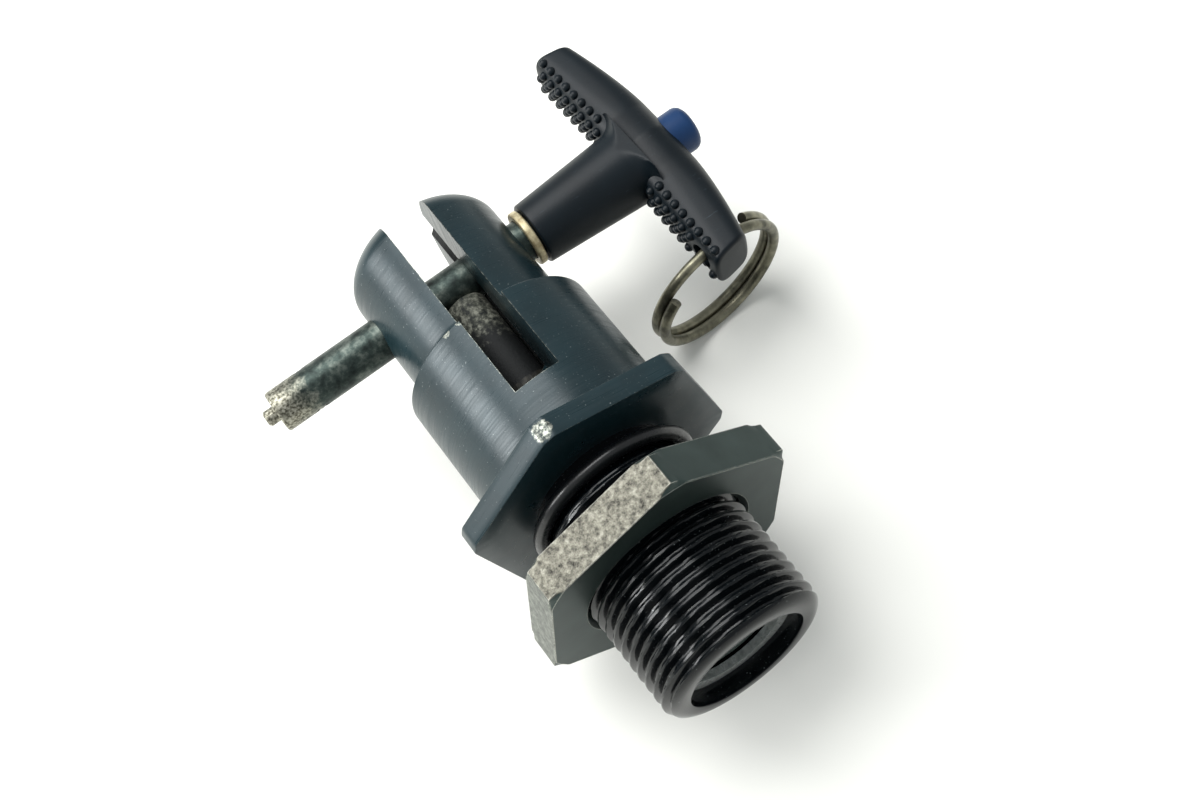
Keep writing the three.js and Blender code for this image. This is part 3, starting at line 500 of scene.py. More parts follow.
flange_rows = [
    (0, 0, 0, RELIEF_R - 0.4),
    (0, FLANGE_EDGE, 0, None),
    (FLANGE_EDGE * 0.3, FLANGE_EDGE * 0.3, 0, None),
    (FLANGE_EDGE, 0, 0, None),
    (FLANGE_T - FLANGE_EDGE, 0, 0, None),
    (FLANGE_T - FLANGE_EDGE * 0.3, FLANGE_EDGE * 0.3, 0, None),
    (FLANGE_T, FLANGE_EDGE, 0, None),
    (FLANGE_T, 0, 0, BARREL_R - 0.5),
]
flange_grid = hexagonal(FLANGE_AF, FLANGE_CORNER_R, FLANGE_TURN, flange_rows)
flange = piece_from_grid("flange_surface", spread(flange_grid, len(flange_rows), 3), sharp=25)
flange.data.materials.append(body_finish)
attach(flange, "valve_body")

# %% [markdown]
# ## The threaded shank
# A thread is a groove that climbs one pitch for each turn. Instead of sweeping a cutter, the radius is
# worked out at every point: the phase, y / pitch + angle / full turn, says how far down the groove's
# flank the point is. The radius is also held under an envelope, which gives the plain groove under the
# flange and the rounded end.


# %% Thread and mouth
ROOT_HALF = 0.09
FLANK_SHARE = 0.31
RELIEF_RISE = 1.4
FLANGE_OVERLAP = 0.5


def thread_radius(y, angle):
    """Crest radius less the depth times a trapezoid of the phase, never above the envelope: the
    trapezoid is level within ROOT_HALF of the middle and climbs over FLANK_SHARE of the pitch."""
    phase = (y / THREAD_PITCH + angle / (2 * np.pi)) % 1.0
    flank = np.clip((np.abs(phase - 0.5) - ROOT_HALF) / FLANK_SHARE, 0, 1)
    groove = THREAD_R - THREAD_DEPTH * (1 - flank)
    relief = RELIEF_R + np.clip(-THREAD_TOP + RELIEF_RISE - y, 0, None)
    into_end = np.clip((-SHANK_LENGTH + THREAD_END_LENGTH - y) / THREAD_END_LENGTH, 0, 1)
    end = SHANK_END_R + (THREAD_R - SHANK_END_R) * np.sqrt(1 - into_end ** 2)
    return np.minimum(np.minimum(groove, relief), end)


columns = 288
angle = np.linspace(0, 2 * np.pi, columns, endpoint=False)
thread_y = np.concatenate([
    -SHANK_LENGTH + THREAD_END_LENGTH * (1 - np.cos(np.linspace(0, np.pi / 2, 24, endpoint=False))),
    np.linspace(-SHANK_LENGTH + THREAD_END_LENGTH, FLANGE_OVERLAP, 290),
])
outer_r = thread_radius(thread_y[:, None], angle[None, :])
outer = np.stack([outer_r * np.cos(angle), thread_y[:, None] + 0 * angle, outer_r * np.sin(angle)], -1)
ring_top = mouth_ring_high[1] + RUN
inner_outline = rounded([
    [MOUTH_R, FLANGE_OVERLAP, 0],
    [CHAMBER_R, ring_top, 0],
    [MOUTH_R, ring_top, 0],
    [MOUTH_R, -SHANK_LENGTH, 0.18],
    [SHANK_END_R, -SHANK_LENGTH, 0],
], 5)[1:-1]
inner = revolved(densified(inner_outline, 4.0)[:-2], columns)
shank = piece_from_grid("shank_surface", np.concatenate([outer, inner]), sharp=28)
shank.data.materials.append(thread_finish)
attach(shank, "valve_body")
print("shank faces:", len(shank.data.polygons))

# %% [markdown]
# ## The jam nut
# The nut is the same metal, but two of its flats have lain against something rough: they are rubbed
# down to bare, pitted aluminium. The flats are found from the object's own coordinates: a point lies on
# a flat where its distance along that flat's direction is half the width across flats.


# %% Nut finish
def flat_direction(index):
    """The direction of one flat's middle, from X towards Z, for the corner turn and a count of flats."""
    angle = math.radians(90 + NUT_TURN + 30 + 60 * index)
    return math.cos(angle), 0.0, math.sin(angle)


FLAT_REACH = 0.12


def nut_metal(name):
    """Cloudy dark oxide, but a point within FLAT_REACH of flat 0 or 1 (its dot product with that
    flat's direction is near half the flats) takes pitted bare metal. Pits are noise 1.1 mm wide."""
    material, tree, coordinates, shader = new_finish(name)
    cloudy = add(tree, "ShaderNodeTexNoise", {"Vector": coordinates, "Scale": per(5.0), "Detail": 6.0})
    base = blend(tree, cloudy.outputs["Fac"], "#232f2d", "#3a4744")
    pits = add(tree, "ShaderNodeTexNoise", {"Vector": coordinates, "Scale": per(1.1), "Detail": 10.0,
                                            "Roughness": 0.78})
    bare = ramp(tree, pits.outputs["Fac"],
                [(0.36, "#24231e"), (0.45, "#65635a"), (0.55, "#8b897c"), (0.68, "#b5b4a8")])
    pitted = ramp(tree, pits.outputs["Fac"], [(0.38, "#222623"), (0.5, "#555a52"), (0.66, "#8d9186")])
    shares = []
    for index in (0, 1):
        distance = add(tree, "ShaderNodeVectorMath", {0: coordinates, 1: flat_direction(index)},
                       operation="DOT_PRODUCT")
        on_flat = add(tree, "ShaderNodeMapRange", {"Value": distance.outputs["Value"],
                                                   "From Min": (NUT_AF / 2 - 2 * FLAT_REACH) * MM,
                                                   "From Max": (NUT_AF / 2 - FLAT_REACH) * MM})
        shares.append(on_flat.outputs["Result"])
    rubbed = blend(tree, shares[1], base, pitted)
    rubbed = blend(tree, shares[0], rubbed, bare)
    # Rubbed edges: pale bare metal, and also a painted highlight where a rounded edge would catch the
    # light.
    edges = worn_and_highlit_edges(tree, coordinates, 0.45, 0.6)
    tree.links.new(blend(tree, edges, rubbed, "#cfcfc6"), shader.inputs["Base Color"])
    rough = add(tree, "ShaderNodeMapRange", {"Value": shares[0], "To Min": 0.42, "To Max": 0.55})
    tree.links.new(rough.outputs["Result"], shader.inputs["Roughness"])
    metal = add(tree, "ShaderNodeMapRange", {"Value": edges, "To Min": 0.6, "To Max": 0.9})
    tree.links.new(metal.outputs["Result"], shader.inputs["Metallic"])
    pit_depth = add(tree, "ShaderNodeMath", {0: pits.outputs["Fac"], 1: shares[0]}, operation="MULTIPLY")
    bumped(tree, shader, pit_depth.outputs["Value"], 0.25)
    return material


# Worn anodised nut: dark and grey-green, with two flats rubbed to pale pitted metal, and pale edges that
# are rubbed metal and also a painted highlight.
nut_finish = nut_metal("worn_anodised_nut")
print("finish:", nut_finish.name)

# %% [markdown]
# ## The nut's shape
# A nut is sawn from hexagonal bar and its faces are turned, which trims the corners to a cone. It could
# be a hexagon with a cone cut off by a Boolean, but the flange's grid already knows hexagons: a row
# that is trimmed by a smaller circle at each face gives the same curved chamfer with no cut.

# %% Nut
NUT_EDGE = 0.12
NUT_FACE_INSET = 0.1
NUT_LEAD = 0.9
CONE_SLOPE = 0.58
bore = THREAD_R + RUN
low_y, high_y = nut_low[1], nut_high[1]
cone = CONE_SLOPE * NUT_CHAMFER
nut_rows = [
    (low_y + NUT_LEAD, 0, 0, bore),
    (low_y, 0, 0, bore + NUT_LEAD),
    (low_y, NUT_FACE_INSET, NUT_CHAMFER, None),
    (low_y + NUT_EDGE, 0, NUT_CHAMFER, None),
    (low_y + cone, 0, 0, None),
    (high_y - cone, 0, 0, None),
    (high_y - NUT_EDGE, 0, NUT_CHAMFER, None),
    (high_y, NUT_FACE_INSET, NUT_CHAMFER, None),
    (high_y, 0, 0, bore + NUT_LEAD),
    (high_y - NUT_LEAD, 0, 0, bore),
]
nut_grid = hexagonal(NUT_AF, NUT_CORNER_R, NUT_TURN, nut_rows)
nut = piece_from_grid("nut_surface", spread(nut_grid, len(nut_rows), 4), sharp=22)
nut.data.materials.append(nut_finish)
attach(nut, "nut")
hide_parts("jam_nut")
print("nut faces:", len(nut.data.polygons))

# %% [markdown]
# ## Rubber, brass and plain steel
# The small turned parts are two tones of one stuff each, mottled by use. One function makes them
# all: rubber, brass, three states of steel, a bronze painted near-black as the slot's shade, and the
# poppet's own pale anodising.


# %% Small parts' finishes
def mottled(name, dark, light, roughness, metallic, grain, depth=0.01, low=0.35, high=0.65):
    """Two tones of one stuff, mixed by noise of that grain in mm, with a bump of the same noise."""
    material, tree, coordinates, shader = new_finish(name)
    noise = add(tree, "ShaderNodeTexNoise", {"Vector": coordinates, "Scale": per(grain), "Detail": 7.0,
                                             "Roughness": 0.62})
    share = add(tree, "ShaderNodeMapRange", {"Value": noise.outputs["Fac"], "From Min": low,
                                             "From Max": high})
    tree.links.new(blend(tree, share.outputs["Result"], dark, light), shader.inputs["Base Color"])
    shine = add(tree, "ShaderNodeMapRange", {"Value": noise.outputs["Fac"], "From Min": 0.3,
                                             "From Max": 0.7, "To Min": roughness + 0.08,
                                             "To Max": roughness - 0.08})
    tree.links.new(shine.outputs["Result"], shader.inputs["Roughness"])
    shader.inputs["Metallic"].default_value = metallic
    bumped(tree, shader, noise.outputs["Fac"], depth)
    return material


# Nitrile rubber: almost black, with a low even sheen.
rubber = mottled("nitrile_rubber", "#050607", "#121416", 0.3, 0.0, 1.4)
# Turned brass, dulled by air: pale straw, half matt.
brass = mottled("turned_brass", "#978866", "#d2c7a2", 0.42, 0.45, 1.2)
# Bright steel of the ring and screw in the mouth: light grey and clean.
bright_steel = mottled("bright_ring_steel", "#8d9190", "#c5c8c6", 0.3, 0.5, 1.0)
# Plated steel gone dull: mid grey that still mirrors a lamp.
plain_steel = mottled("dull_plated_steel", "#666963", "#a9aaa2", 0.34, 0.8, 0.8)
# Spring wire stained brown: dark and light patches a few millimetres long.
ring_steel = mottled("stained_ring_steel", "#3a3a31", "#8f8c78", 0.38, 0.85, 3.5, 0.02, 0.3, 0.7)
# Bronze painted near-black as the shade at the bottom of the slot, so that the slot's depth reads as black.
dark_bronze_painted_shade = mottled("dark_bronze_painted_shade", "#0d0f0e", "#2a2820", 0.6, 0.3, 1.0)
# Anodised poppet: a lighter grey-green than the body, and smoother.
poppet_finish = mottled("anodised_poppet", "#2b3734", "#56635d", 0.24, 0.4, 2.0)


# Below this height the stem is painted near-black as the shadow the fork's cheek casts; pale dust above.
PAINTED_SHADOW_TOP = 0.0385
DUST_FULL = 0.0425
DUST_SWING = 0.012


def stem_dust_and_painted_shadow(name):
    """Pale dust above, near-black below as a painted shadow, the one the fork's cheek casts on the stem:
    height plus DUST_SWING times noise, read from the shadow's top to DUST_FULL in metres, so that the edge
    between them is ragged."""
    material, tree, coordinates, shader = new_finish(name)
    place = add(tree, "ShaderNodeSeparateXYZ", {"Vector": coordinates})
    dust = add(tree, "ShaderNodeTexNoise", {"Vector": coordinates, "Scale": per(1.3), "Detail": 9.0,
                                            "Roughness": 0.7})
    tone = ramp(tree, dust.outputs["Fac"], [(0.4, "#1b201e"), (0.5, "#4c4e45"), (0.62, "#8b8c80")])
    swung = add(tree, "ShaderNodeMath", {0: dust.outputs["Fac"], 1: DUST_SWING, 2: place.outputs["Y"]},
                operation="MULTIPLY_ADD")
    dust_over_painted_shadow = add(tree, "ShaderNodeMapRange", {"Value": swung.outputs["Value"],
                                              "From Min": PAINTED_SHADOW_TOP, "From Max": DUST_FULL})
    # 0c1011 is the painted shadow; the tone above it is dust.
    tree.links.new(blend(tree, dust_over_painted_shadow.outputs["Result"], "#0c1011", tone), shader.inputs["Base Color"])
    shader.inputs["Roughness"].default_value = 0.7
    shader.inputs["Metallic"].default_value = 0.2
    bumped(tree, shader, dust.outputs["Fac"], 0.15)
    return material


# Stem steel: pale dust on its top, painted near-black below as the cheek's cast shadow, and matt, so that
# it barely lights up at the bottom of the slot.
stem_dust_and_shadow_steel = stem_dust_and_painted_shadow("stem_steel_dust_and_painted_shadow")
print("small finishes:", rubber.name, brass.name, dark_bronze_painted_shade.name, stem_dust_and_shadow_steel.name)

# %% [markdown]
# ## The small turned parts
# The collar, the poppet and the stem come off a lathe, so each is an outline turned round its axis. An
# outline lists only corners, each with the radius of its rounding, and a function sets in the arcs. The
# rubber ring is a circle turned the same way.


# %% Turned parts that show in the mouth, the slot and on the pin
def turned_piece(name, node, body, material, corners, columns=96, pin=False):
    """Revolve a rounded outline, as revolved and rounded say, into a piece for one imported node."""
    grid = revolved(rounded(corners), columns)
    piece = piece_from_grid(name, on_pin(grid) if pin else grid)
    piece.data.materials.append(material)
    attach(piece, body)
    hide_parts(node)
    return piece


def o_ring(name, node, middle, section, y):
    """A ring of round section: r = middle + section cos b, y = y + section sin b."""
    b = np.linspace(0, 2 * np.pi, 28, endpoint=False)
    outline = np.stack([middle + section * np.cos(b), y + section * np.sin(b)], -1)
    piece = piece_from_grid(name, revolved(outline, 160))
    piece.data.materials.append(rubber)
    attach(piece, "valve_body")
    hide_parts(node)


band_low, band_high = box_mm("flange_o_ring")
section = (band_high[1] - band_low[1]) / 2
o_ring("flange_o_ring_surface", "flange_o_ring", band_high[0] - section, section,
       (band_low[1] + band_high[1]) / 2)
turned_piece("collar_surface", "pin_collar", "collar", brass, [
    [PIN_R + RUN, collar_low[0], 0.1],
    [collar_high[2], collar_low[0], 0.35],
    [collar_high[2], collar_high[0], 0.35],
    [PIN_R + RUN, collar_high[0], 0.1],
], pin=True)
SCREW_HEAD_R = 2.66
SCREW_HEAD_DEPTH = 1.7
STEM_BORE_R = 1.31
turned_piece("poppet_surface", "poppet", "plunger", poppet_finish, [
    [SCREW_HEAD_R, poppet_low[1] + SCREW_HEAD_DEPTH, 0],
    [SCREW_HEAD_R, poppet_low[1], 0.15],
    [poppet_high[0], poppet_low[1], 0.6],
    [poppet_high[0], poppet_high[1], 0.1],
    [STEM_BORE_R, poppet_high[1], 0],
    [STEM_BORE_R, poppet_low[1] + SCREW_HEAD_DEPTH, 0],
])
CLIP_GROOVE_TOP = 3.26
CLIP_GROOVE_BOTTOM = 1.94
CLIP_GROOVE_R = 2.3
STEM_LOWER_R = 3.0
STEM_BORE_END = -23.5
turned_piece("stem_surface", "plunger_stem", "plunger", stem_dust_and_shadow_steel, [
    [0.0, stem_high[1], 0],
    [stem_high[0], stem_high[1], 0.8],
    [stem_high[0], CLIP_GROOVE_TOP, 0.1],
    [CLIP_GROOVE_R, CLIP_GROOVE_TOP, 0],
    [CLIP_GROOVE_R, CLIP_GROOVE_BOTTOM, 0],
    [STEM_LOWER_R, CLIP_GROOVE_BOTTOM, 0],
    [STEM_LOWER_R, stem_low[1], 0],
    [STEM_BORE_R, stem_low[1], 0],
    [STEM_BORE_R, STEM_BORE_END, 0],
    [0.0, STEM_BORE_END, 0],
])

# %% [markdown]
# ## The pin
# The pin is hardened steel, dark with an oily patina, and rubbed to mottled bare metal at its tip. Two
# small balls look out of holes near the tip. The holes are cut as on the real pin.


# %% Pin
SPINDLE_BORE_R = 1.5
BALL_WELL = 1.5
BALL_WELL_TOP = 3.0


def pin_metal(name):
    """Patina blotched by noise 2.6 mm wide. Towards the tip it gives way to bare metal mottled by
    finer noise, where the place along the pin, less 12 mm times the blotches, falls past the tip."""
    material, tree, coordinates, shader = new_finish(name)
    place = add(tree, "ShaderNodeSeparateXYZ", {"Vector": coordinates})
    blotches = add(tree, "ShaderNodeTexNoise", {"Vector": coordinates, "Scale": per(2.6), "Detail": 8.0,
                                                "Roughness": 0.65})
    fine = add(tree, "ShaderNodeTexNoise", {"Vector": coordinates, "Scale": per(0.5), "Detail": 4.0})
    ragged = add(tree, "ShaderNodeMath", {0: blotches.outputs["Fac"], 1: 0.012}, operation="MULTIPLY")
    where = add(tree, "ShaderNodeMath", {0: place.outputs["X"], 1: ragged.outputs["Value"]},
                operation="SUBTRACT")
    bare_share = add(tree, "ShaderNodeMapRange", {"Value": where.outputs["Value"],
                                                  "From Min": (pin_low[0] + 1.5) * MM,
                                                  "From Max": (pin_low[0] - 3.5) * MM})
    patina = ramp(tree, blotches.outputs["Fac"], [(0.35, "#1c2422"), (0.5, "#36413d"), (0.68, "#6a716a")])
    bare = ramp(tree, fine.outputs["Fac"], [(0.38, "#47453b"), (0.5, "#817f71"), (0.62, "#a9a799")])
    tree.links.new(blend(tree, bare_share.outputs["Result"], patina, bare), shader.inputs["Base Color"])
    shader.inputs["Metallic"].default_value = 0.75
    shader.inputs["Roughness"].default_value = 0.42
    bumped(tree, shader, blotches.outputs["Fac"], 0.03)
    return material


# Dark steel: oily brown-black with a dull mirror, lighter where it has been rubbed.
pin_finish = pin_metal("dark_pin_steel")
pin_outline = densified(rounded([
    [SPINDLE_BORE_R, pin_low[0], 0],
    [PIN_R, pin_low[0], 0.6],
    [PIN_R, pin_high[0], 0.1],
    [SPINDLE_BORE_R, pin_high[0], 0],
]), 1.0)
pin = piece_from_grid("pin_surface", on_pin(revolved(pin_outline, 144)))
ball_cutters = []
for node, body in (("locking_ball_front", "ball_front"), ("locking_ball_rear", "ball_rear")):
    ball_low, ball_high = box_mm(node)
    centre = (ball_low + ball_high) / 2
    radius = (ball_high[0] - ball_low[0]) / 2
    out = centre - np.array([centre[0], PIN_HEIGHT, 0])
    out /= np.linalg.norm(out)
    side = np.cross(out, [1, 0, 0])
    ring_angle = np.linspace(0, 2 * np.pi, 40, endpoint=False)
    rim = np.array([1, 0, 0]) * np.cos(ring_angle)[:, None] + side * np.sin(ring_angle)[:, None]
    rows = [centre - out * BALL_WELL * radius, centre + out * BALL_WELL_TOP * radius]
    walls = np.array([rows[0] + 0 * rim, rows[0] + rim * (radius + RUN),
                      rows[1] + rim * (radius + RUN), rows[1] + 0 * rim])
    ball_cutters.append(piece_from_grid("ball_hole", walls, close_rows=False))
    v = np.linspace(-np.pi / 2, np.pi / 2, 17)
    sphere = centre + radius * (np.cos(v)[:, None, None] * rim + np.sin(v)[:, None, None] * out)
    ball = piece_from_grid(node + "_surface", sphere, close_rows=False)
    ball.data.materials.append(plain_steel)
    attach(ball, body)
    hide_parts(node)
cut(pin, ball_cutters)
pin.data.materials.append(pin_finish)
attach(pin, "pin")
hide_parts("pin_shank")
print("pin faces:", len(pin.data.polygons))

# %% [markdown]
# ## The T-handle
# The handle is moulded plastic: a neck that widens to the bar, and a bar whose section is a rounded
# oval. The oval is a superellipse: a power above 2 makes it fuller than an ellipse. Its depth and
# height shrink towards the tips. Fine scratches and rubbed specks catch the light.


# %% Plastic finish
PLASTIC_GLOSS = 0.24


def moulded(name, dark, light, scuff, roughness):
    """Cloudy dark plastic with a fine moulded grain, 0.4 mm wide. Scuffs are noise drawn out twelve
    times along one slant, seen only where it is above 0.63."""
    material, tree, coordinates, shader = new_finish(name)
    cloudy = add(tree, "ShaderNodeTexNoise", {"Vector": coordinates, "Scale": per(9.0), "Detail": 4.0})
    base = blend(tree, cloudy.outputs["Fac"], dark, light)
    streaks = add(tree, "ShaderNodeMapping", {"Vector": coordinates, "Rotation": (0.3, 0.5, 0.6),
                                              "Scale": (per(6.0), per(0.5), per(0.5))})
    lines = add(tree, "ShaderNodeTexNoise", {"Vector": streaks.outputs["Vector"], "Scale": 1.0,
                                             "Detail": 6.0, "Roughness": 0.75})
    scratched = add(tree, "ShaderNodeMapRange", {"Value": lines.outputs["Fac"], "From Min": 0.63,
                                                 "From Max": 0.78, "To Max": 0.75})
    tree.links.new(blend(tree, scratched.outputs["Result"], base, scuff), shader.inputs["Base Color"])
    fine = add(tree, "ShaderNodeTexNoise", {"Vector": coordinates, "Scale": per(0.4), "Detail": 3.0})
    shader.inputs["Roughness"].default_value = roughness
    shader.inputs["Specular IOR Level"].default_value = PLASTIC_GLOSS
    bumped(tree, shader, fine.outputs["Fac"], 0.012)
    return material


# Black nylon: soft broad shine, grey scratches.
handle_plastic = moulded("moulded_black_plastic", "#03090e", "#08151c", "#3d4a52", 0.42)
# The same plastic dyed blue, for the button.
blue_plastic = moulded("moulded_blue_plastic", "#0c2444", "#173c69", "#4c6a92", 0.42)
print("plastics:", handle_plastic.name, blue_plastic.name)

# %% [markdown]
# ## The bar's shape
# One section is carried along the bar while its size changes, so the whole bar is one grid. The eye
# for the split ring and the button's well are drilled afterwards, as the body's holes are.

# %% Bar
HANDLE_X = handle_low[0]
NECK_LENGTH = 20.4
NECK_START_R = 5.95
NECK_END_R = 7.3
HUB_FILLET = 3.2
BAR_INNER_X = HANDLE_X + NECK_LENGTH
BAR_OUTER_X = handle_high[0]
BAR_DEPTH = BAR_OUTER_X - BAR_INNER_X
BAR_TIP_DEPTH = 7.5
BAR_REACH = 28.3
BAR_FLAT = 7.0
BAR_TAPER = 1.5
BAR_HALF_HEIGHT = 6.4
BAR_SHOULDER_HEIGHT = 5.4
BAR_TIP_HEIGHT = 4.7
BAR_POWER = 2.3
BAR_TIP_POWER = 3.6
BAR_END_SLANT = 0.17
BAR_END_ROUND = 0.8
WELL_R = 4.5
WELL_FLOOR_GAP = 2.0
CUTTER_PAST = 5.0
EYE_INSET = 4.9
EYE_R = 2.45
EYE_Y = PIN_HEIGHT - BAR_REACH + EYE_INSET
EYE_X = BAR_INNER_X + BAR_TIP_DEPTH / 2


def bar_section(along):
    """Depth and half height at a distance from the pin, and the share of the taper gone: level, then
    depth falls by that share ** 1.5 and height evenly to the tip."""
    far = np.clip((np.abs(along) - BAR_FLAT) / (BAR_REACH - BAR_FLAT), 0, 1)
    near = np.clip(np.abs(along) / BAR_FLAT, 0, 1)
    depth = BAR_DEPTH - (BAR_DEPTH - BAR_TIP_DEPTH) * far ** BAR_TAPER
    half = (BAR_HALF_HEIGHT + (BAR_SHOULDER_HEIGHT - BAR_HALF_HEIGHT) * near
            + (BAR_TIP_HEIGHT - BAR_SHOULDER_HEIGHT) * far)
    return depth, half, far


def bar_grid(columns=96):
    """x = middle + depth / 2 * |cos a| ** (2 / power) with cos's sign, z the same with sin; y runs
    along the bar, and the ends are drawn in by a quarter circle."""
    straight = BAR_REACH - BAR_END_ROUND
    body_part = np.linspace(-BAR_REACH + BAR_END_ROUND, straight, 121)
    round_off = np.linspace(0, np.pi / 2, 7)[1:]
    end = straight + BAR_END_ROUND * np.sin(round_off)
    along = np.concatenate([-end[::-1], body_part, end])
    past = np.clip(np.abs(along) - straight, 0, BAR_END_ROUND)
    inset = BAR_END_ROUND - np.sqrt(np.clip(BAR_END_ROUND ** 2 - past ** 2, 0, None))
    depth, half, far = bar_section(along)
    a = np.linspace(0, 2 * np.pi, columns, endpoint=False)[None, :]
    power = 2 / (BAR_POWER + (BAR_TIP_POWER - BAR_POWER) * far[:, None])
    across = np.sign(np.cos(a)) * np.abs(np.cos(a)) ** power
    tall = np.sign(np.sin(a)) * np.abs(np.sin(a)) ** power
    x = BAR_INNER_X + depth[:, None] / 2 + (depth / 2 - inset)[:, None] * across
    z = (half - inset)[:, None] * tall
    slant = (np.sign(along) * BAR_END_SLANT * far)[:, None]
    y = PIN_HEIGHT + along[:, None] - slant * (x - BAR_INNER_X)
    grid = np.stack([x, y, z], -1)
    caps = grid[[0, -1]].mean(axis=1, keepdims=True) + 0 * grid[[0, -1]]
    return np.concatenate([caps[:1], grid, caps[1:]])


bar = piece_from_grid("bar_surface", bar_grid(), close_rows=False)
eye_outline = rod(EYE_R, BAR_INNER_X - CUTTER_PAST, BAR_OUTER_X + CUTTER_PAST)
eye_grid = on_pin(revolved(eye_outline, 64)) + np.array([0, EYE_Y - PIN_HEIGHT, 0])
eye_cutter = piece_from_grid("eye_cutter", eye_grid, close_rows=False)
well_outline = rod(WELL_R, button_low[0] - WELL_FLOOR_GAP, BAR_OUTER_X + CUTTER_PAST)
well_cutter = piece_from_grid("well_cutter", on_pin(revolved(well_outline, 96)), close_rows=False)
cut(bar, [eye_cutter, well_cutter])
bar.data.materials.append(handle_plastic)
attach(bar, "pin")
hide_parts("t_handle")
print("bar faces:", len(bar.data.polygons))

# %% [markdown]
# ## The neck
# The neck is round and runs out into the bar by a fillet. It is turned like the rest, and its top and
# bottom are pressed flat where the fillet would stand out past the bar's height.

# %% Neck
flare = np.radians(np.linspace(180, 90, 12))
hub_x = BAR_INNER_X + BAR_DEPTH / 4
neck_profile = np.concatenate([
    rounded([[PIN_R + RUN, HANDLE_X, 0], [NECK_START_R, HANDLE_X, 0.4],
             [NECK_END_R, hub_x - HUB_FILLET, 0], [PIN_R + RUN, hub_x, 0]])[:-1],
    np.stack([NECK_END_R + HUB_FILLET * (1 + np.cos(flare)), hub_x - HUB_FILLET * (1 - np.sin(flare))], -1),
    [[PIN_R + RUN, hub_x]],
])
neck_grid = on_pin(revolved(densified(neck_profile, 0.8), 144))
neck_grid[..., 2] = np.clip(neck_grid[..., 2], -NECK_END_R, NECK_END_R)
neck = piece_from_grid("neck_surface", neck_grid)
neck.data.materials.append(handle_plastic)
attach(neck, "pin")
print("neck faces:", len(neck.data.polygons))

# %% [markdown]
# ## Beads
# The fingers pull on rows of small beads moulded round the bar's inner side. They are one mesh: one
# low sphere is placed at every bead's centre at once by adding two arrays.

# %% Beads on the bar
BEAD_R = 0.9
BEAD_PITCH = 2.4
BEAD_ROWS = 6
BEAD_ROW_PITCH = 1.73
BEAD_COUNT = 8
BEAD_START = 8.3
row, count, arm = np.meshgrid(np.arange(BEAD_ROWS), np.arange(BEAD_COUNT), [-1, 1], indexing="ij")
along = (arm * (BEAD_START + (count + (row % 2) / 2) * BEAD_PITCH)).ravel()
z = ((row - (BEAD_ROWS - 1) / 2) * BEAD_ROW_PITCH).ravel()
y = PIN_HEIGHT + along
kept = (np.abs(along) <= BAR_REACH - BEAD_R) & (np.hypot(y - EYE_Y, z) >= EYE_R + BEAD_R)
along, y, z = along[kept], y[kept], z[kept]
depth, half, far = bar_section(along)
power = BAR_POWER + (BAR_TIP_POWER - BAR_POWER) * far
x = BAR_INNER_X + depth / 2 * (1 - (1 - np.abs(z / half) ** power) ** (1 / power))
centres = np.stack([x, y, z], -1)
ROUND, RISE = 12, 8
u = np.linspace(0, 2 * np.pi, ROUND, endpoint=False)
v = np.linspace(0, np.pi, RISE)
low_sphere = BEAD_R * np.stack([np.cos(v)[:, None] + 0 * u, np.sin(v)[:, None] * np.cos(u),
                                np.sin(v)[:, None] * np.sin(u)], -1)
beads_mesh = bpy.data.meshes.new("beads")
i, j = np.meshgrid(np.arange(RISE - 1), np.arange(ROUND), indexing="ij")
j2 = (j + 1) % ROUND
quad = np.stack([i * ROUND + j, i * ROUND + j2, (i + 1) * ROUND + j2, (i + 1) * ROUND + j], -1)
bead_points = centres[:, None, :] + low_sphere.reshape(1, -1, 3)
bead_faces = quad.reshape(1, -1, 4) + ROUND * RISE * np.arange(len(centres))[:, None, None]
beads_mesh.from_pydata((bead_points.reshape(-1, 3) * MM).tolist(), [], bead_faces.reshape(-1, 4).tolist())
beads = finish_mesh("bead_surface", beads_mesh, 60)
beads.data.materials.append(handle_plastic)
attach(beads, "pin")
print("beads:", len(centres))

# %% [markdown]
# ## The button
# The button is a plain blue cylinder with a well rounded face, turned like the collar.

# %% Button
turned_piece("button_surface", "push_button", "button", blue_plastic, [
    [0.0, button_low[0], 0],
    [button_high[2], button_low[0], 0.2],
    [button_high[2], button_high[0], 1.6],
    [0.0, button_high[0], 0],
], pin=True)

# %% [markdown]
# ## The split ring
# Spring wire is wound into a close helix of a little under two turns. A tube is carried along it: at
# each point of the helix, a circle of the wire's radius lies across the path, between the direction
# away from the ring's middle and the ring's own axis. The cut ends are flat.

# %% Split ring
SPLIT_R = 13.6
WIRE_R = 1.02
SPLIT_TURNS = 1.755
SPLIT_START = 38
COIL_GAP = 0.08
HANG_X = -1.3
HANG_SLACK = 0.5
TILT = 5
YAW = 4
turns = np.linspace(0, 1, 260) * SPLIT_TURNS
theta = np.radians(SPLIT_START) + turns * 2 * np.pi
across = (SPLIT_TURNS / 2 - turns) * (2 * WIRE_R + COIL_GAP)
b = np.linspace(0, 2 * np.pi, 24, endpoint=False)[None, :]
reach = SPLIT_R + WIRE_R * np.cos(b)
wire = np.stack([reach * np.sin(theta)[:, None], across[:, None] + WIRE_R * np.sin(b) + 0 * theta[:, None],
                 reach * np.cos(theta)[:, None]], -1)
ends = wire[[0, -1]].mean(axis=1, keepdims=True) + 0 * wire[[0, -1]]
wire = np.concatenate([ends[:1], wire, ends[1:]])
place = (Matrix.Translation((EYE_X + HANG_X, EYE_Y, 0)) @ Matrix.Rotation(math.radians(TILT), 4, "X")
         @ Matrix.Rotation(math.radians(YAW), 4, "Z") @ Matrix.Translation((0, 0, HANG_SLACK - SPLIT_R)))
placed = np.array(place)
wire = wire @ placed[:3, :3].T + placed[:3, 3]
ring = piece_from_grid("split_ring_surface", wire, close_rows=False)
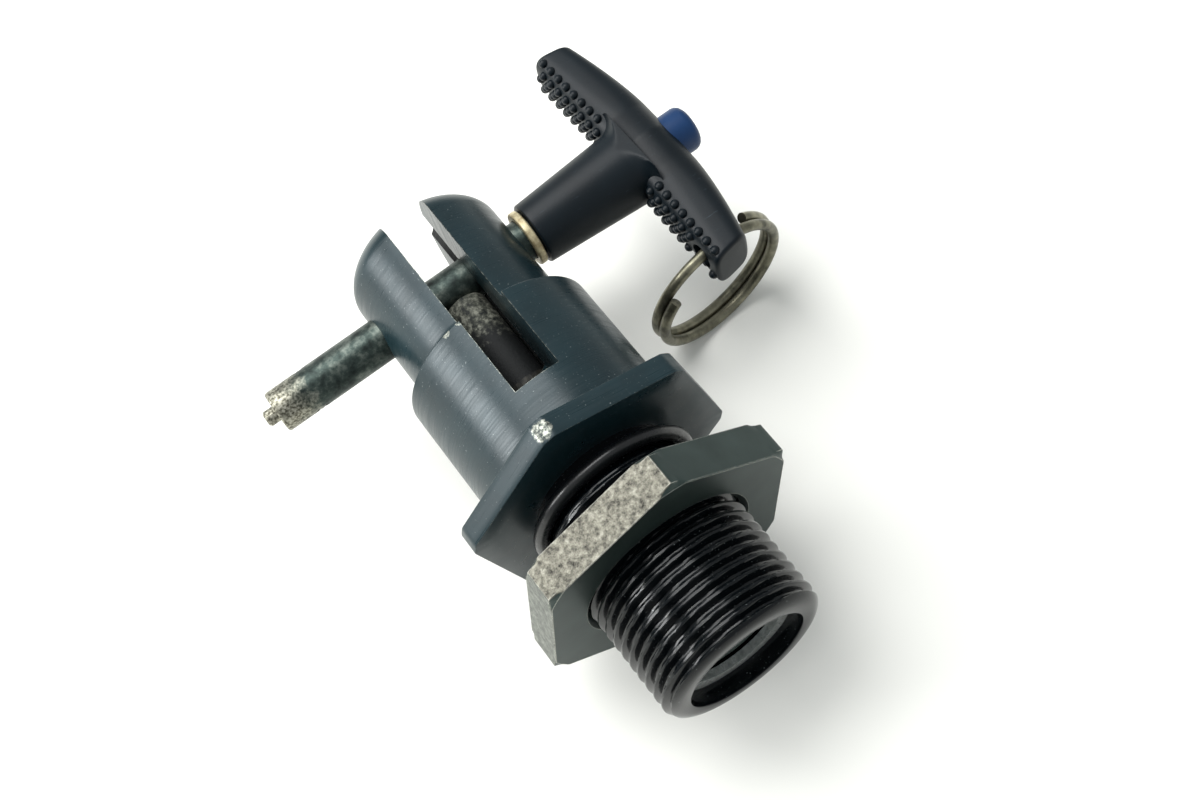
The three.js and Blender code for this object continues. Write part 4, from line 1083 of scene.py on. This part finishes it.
ring.data.materials.append(ring_steel)
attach(ring, "ring")
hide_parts("split_ring")
print("split ring faces:", len(ring.data.polygons))

# %% [markdown]
# ## What stays as packed
# The parts inside are simple and mostly hidden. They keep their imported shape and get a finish.

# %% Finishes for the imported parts
KEPT = {
    # The guide bush is painted near-black, as painted shade at the bottom of the slot.
    "guide_bush": dark_bronze_painted_shade,
    "seat_insert": plain_steel,
    "seat_o_ring": rubber,
    "retaining_ring": bright_steel,
    "spring_clip": plain_steel,
    "lift_spring": plain_steel,
    "poppet_seal": rubber,
    "poppet_screw": bright_steel,
    "spindle": pin_finish,
    "spindle_spring": plain_steel,
}
for name, material in KEPT.items():
    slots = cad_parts[name].data.materials
    slots.clear()
    slots.append(material)
print("kept as packed:", len(KEPT))

# %% [markdown]
# ## Floor and light
# The valve lies on a pale surface under a large soft lamp that stands low on the side of the pin's
# tip, with an even pale surround that fills the shadows.

# %% Floor
FLOOR_GAP = 0.1
floor_z = min(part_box(name)[0].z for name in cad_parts) - FLOOR_GAP * MM
floor_mesh = bpy.data.meshes.new("floor")
FLOOR_HALF = 3.0
floor_corners = [(x * FLOOR_HALF, y * FLOOR_HALF, floor_z)
                 for x, y in ((-1, -1), (1, -1), (1, 1), (-1, 1))]
floor_mesh.from_pydata(floor_corners, [], [(0, 1, 2, 3)])
floor = bpy.data.objects.new("floor", floor_mesh)
bpy.context.scene.collection.objects.link(floor)
# Pale matt cloth or card: it sends light back up and takes a soft shadow.
floor_finish, _, _, floor_shader = new_finish("pale_floor")
floor_shader.inputs["Base Color"].default_value = linear("#f4f4ee")
floor_shader.inputs["Roughness"].default_value = 0.9
floor_mesh.materials.append(floor_finish)


# %% Lamps
def soft_lamp(name, direction, distance, size, watts):
    """A square lamp at a distance from the valve's middle, facing it."""
    data = bpy.data.lights.new(name, "AREA")
    data.size = size
    data.energy = watts
    lamp = bpy.data.objects.new(name, data)
    bpy.context.scene.collection.objects.link(lamp)
    towards = Vector(direction).normalized()
    middle = Vector((0.01, 0.015, 0.0))
    facing = towards.to_track_quat("Z", "Y").to_matrix().to_4x4()
    lamp.matrix_world = Matrix.Translation(middle + towards * distance) @ facing


soft_lamp("window", (-0.80, 0.42, 0.42), 0.8, 0.34, 5.0)
soft_lamp("overhead", (-0.15, 0.5, 1.0), 0.9, 0.7, 9.0)
world = bpy.data.worlds.new("surround")
world.use_nodes = True
world.node_tree.nodes["Background"].inputs["Color"].default_value = linear("#eef2f4")
world.node_tree.nodes["Background"].inputs["Strength"].default_value = 0.62
bpy.context.scene.world = world
bpy.context.scene.view_settings.view_transform = "Standard"
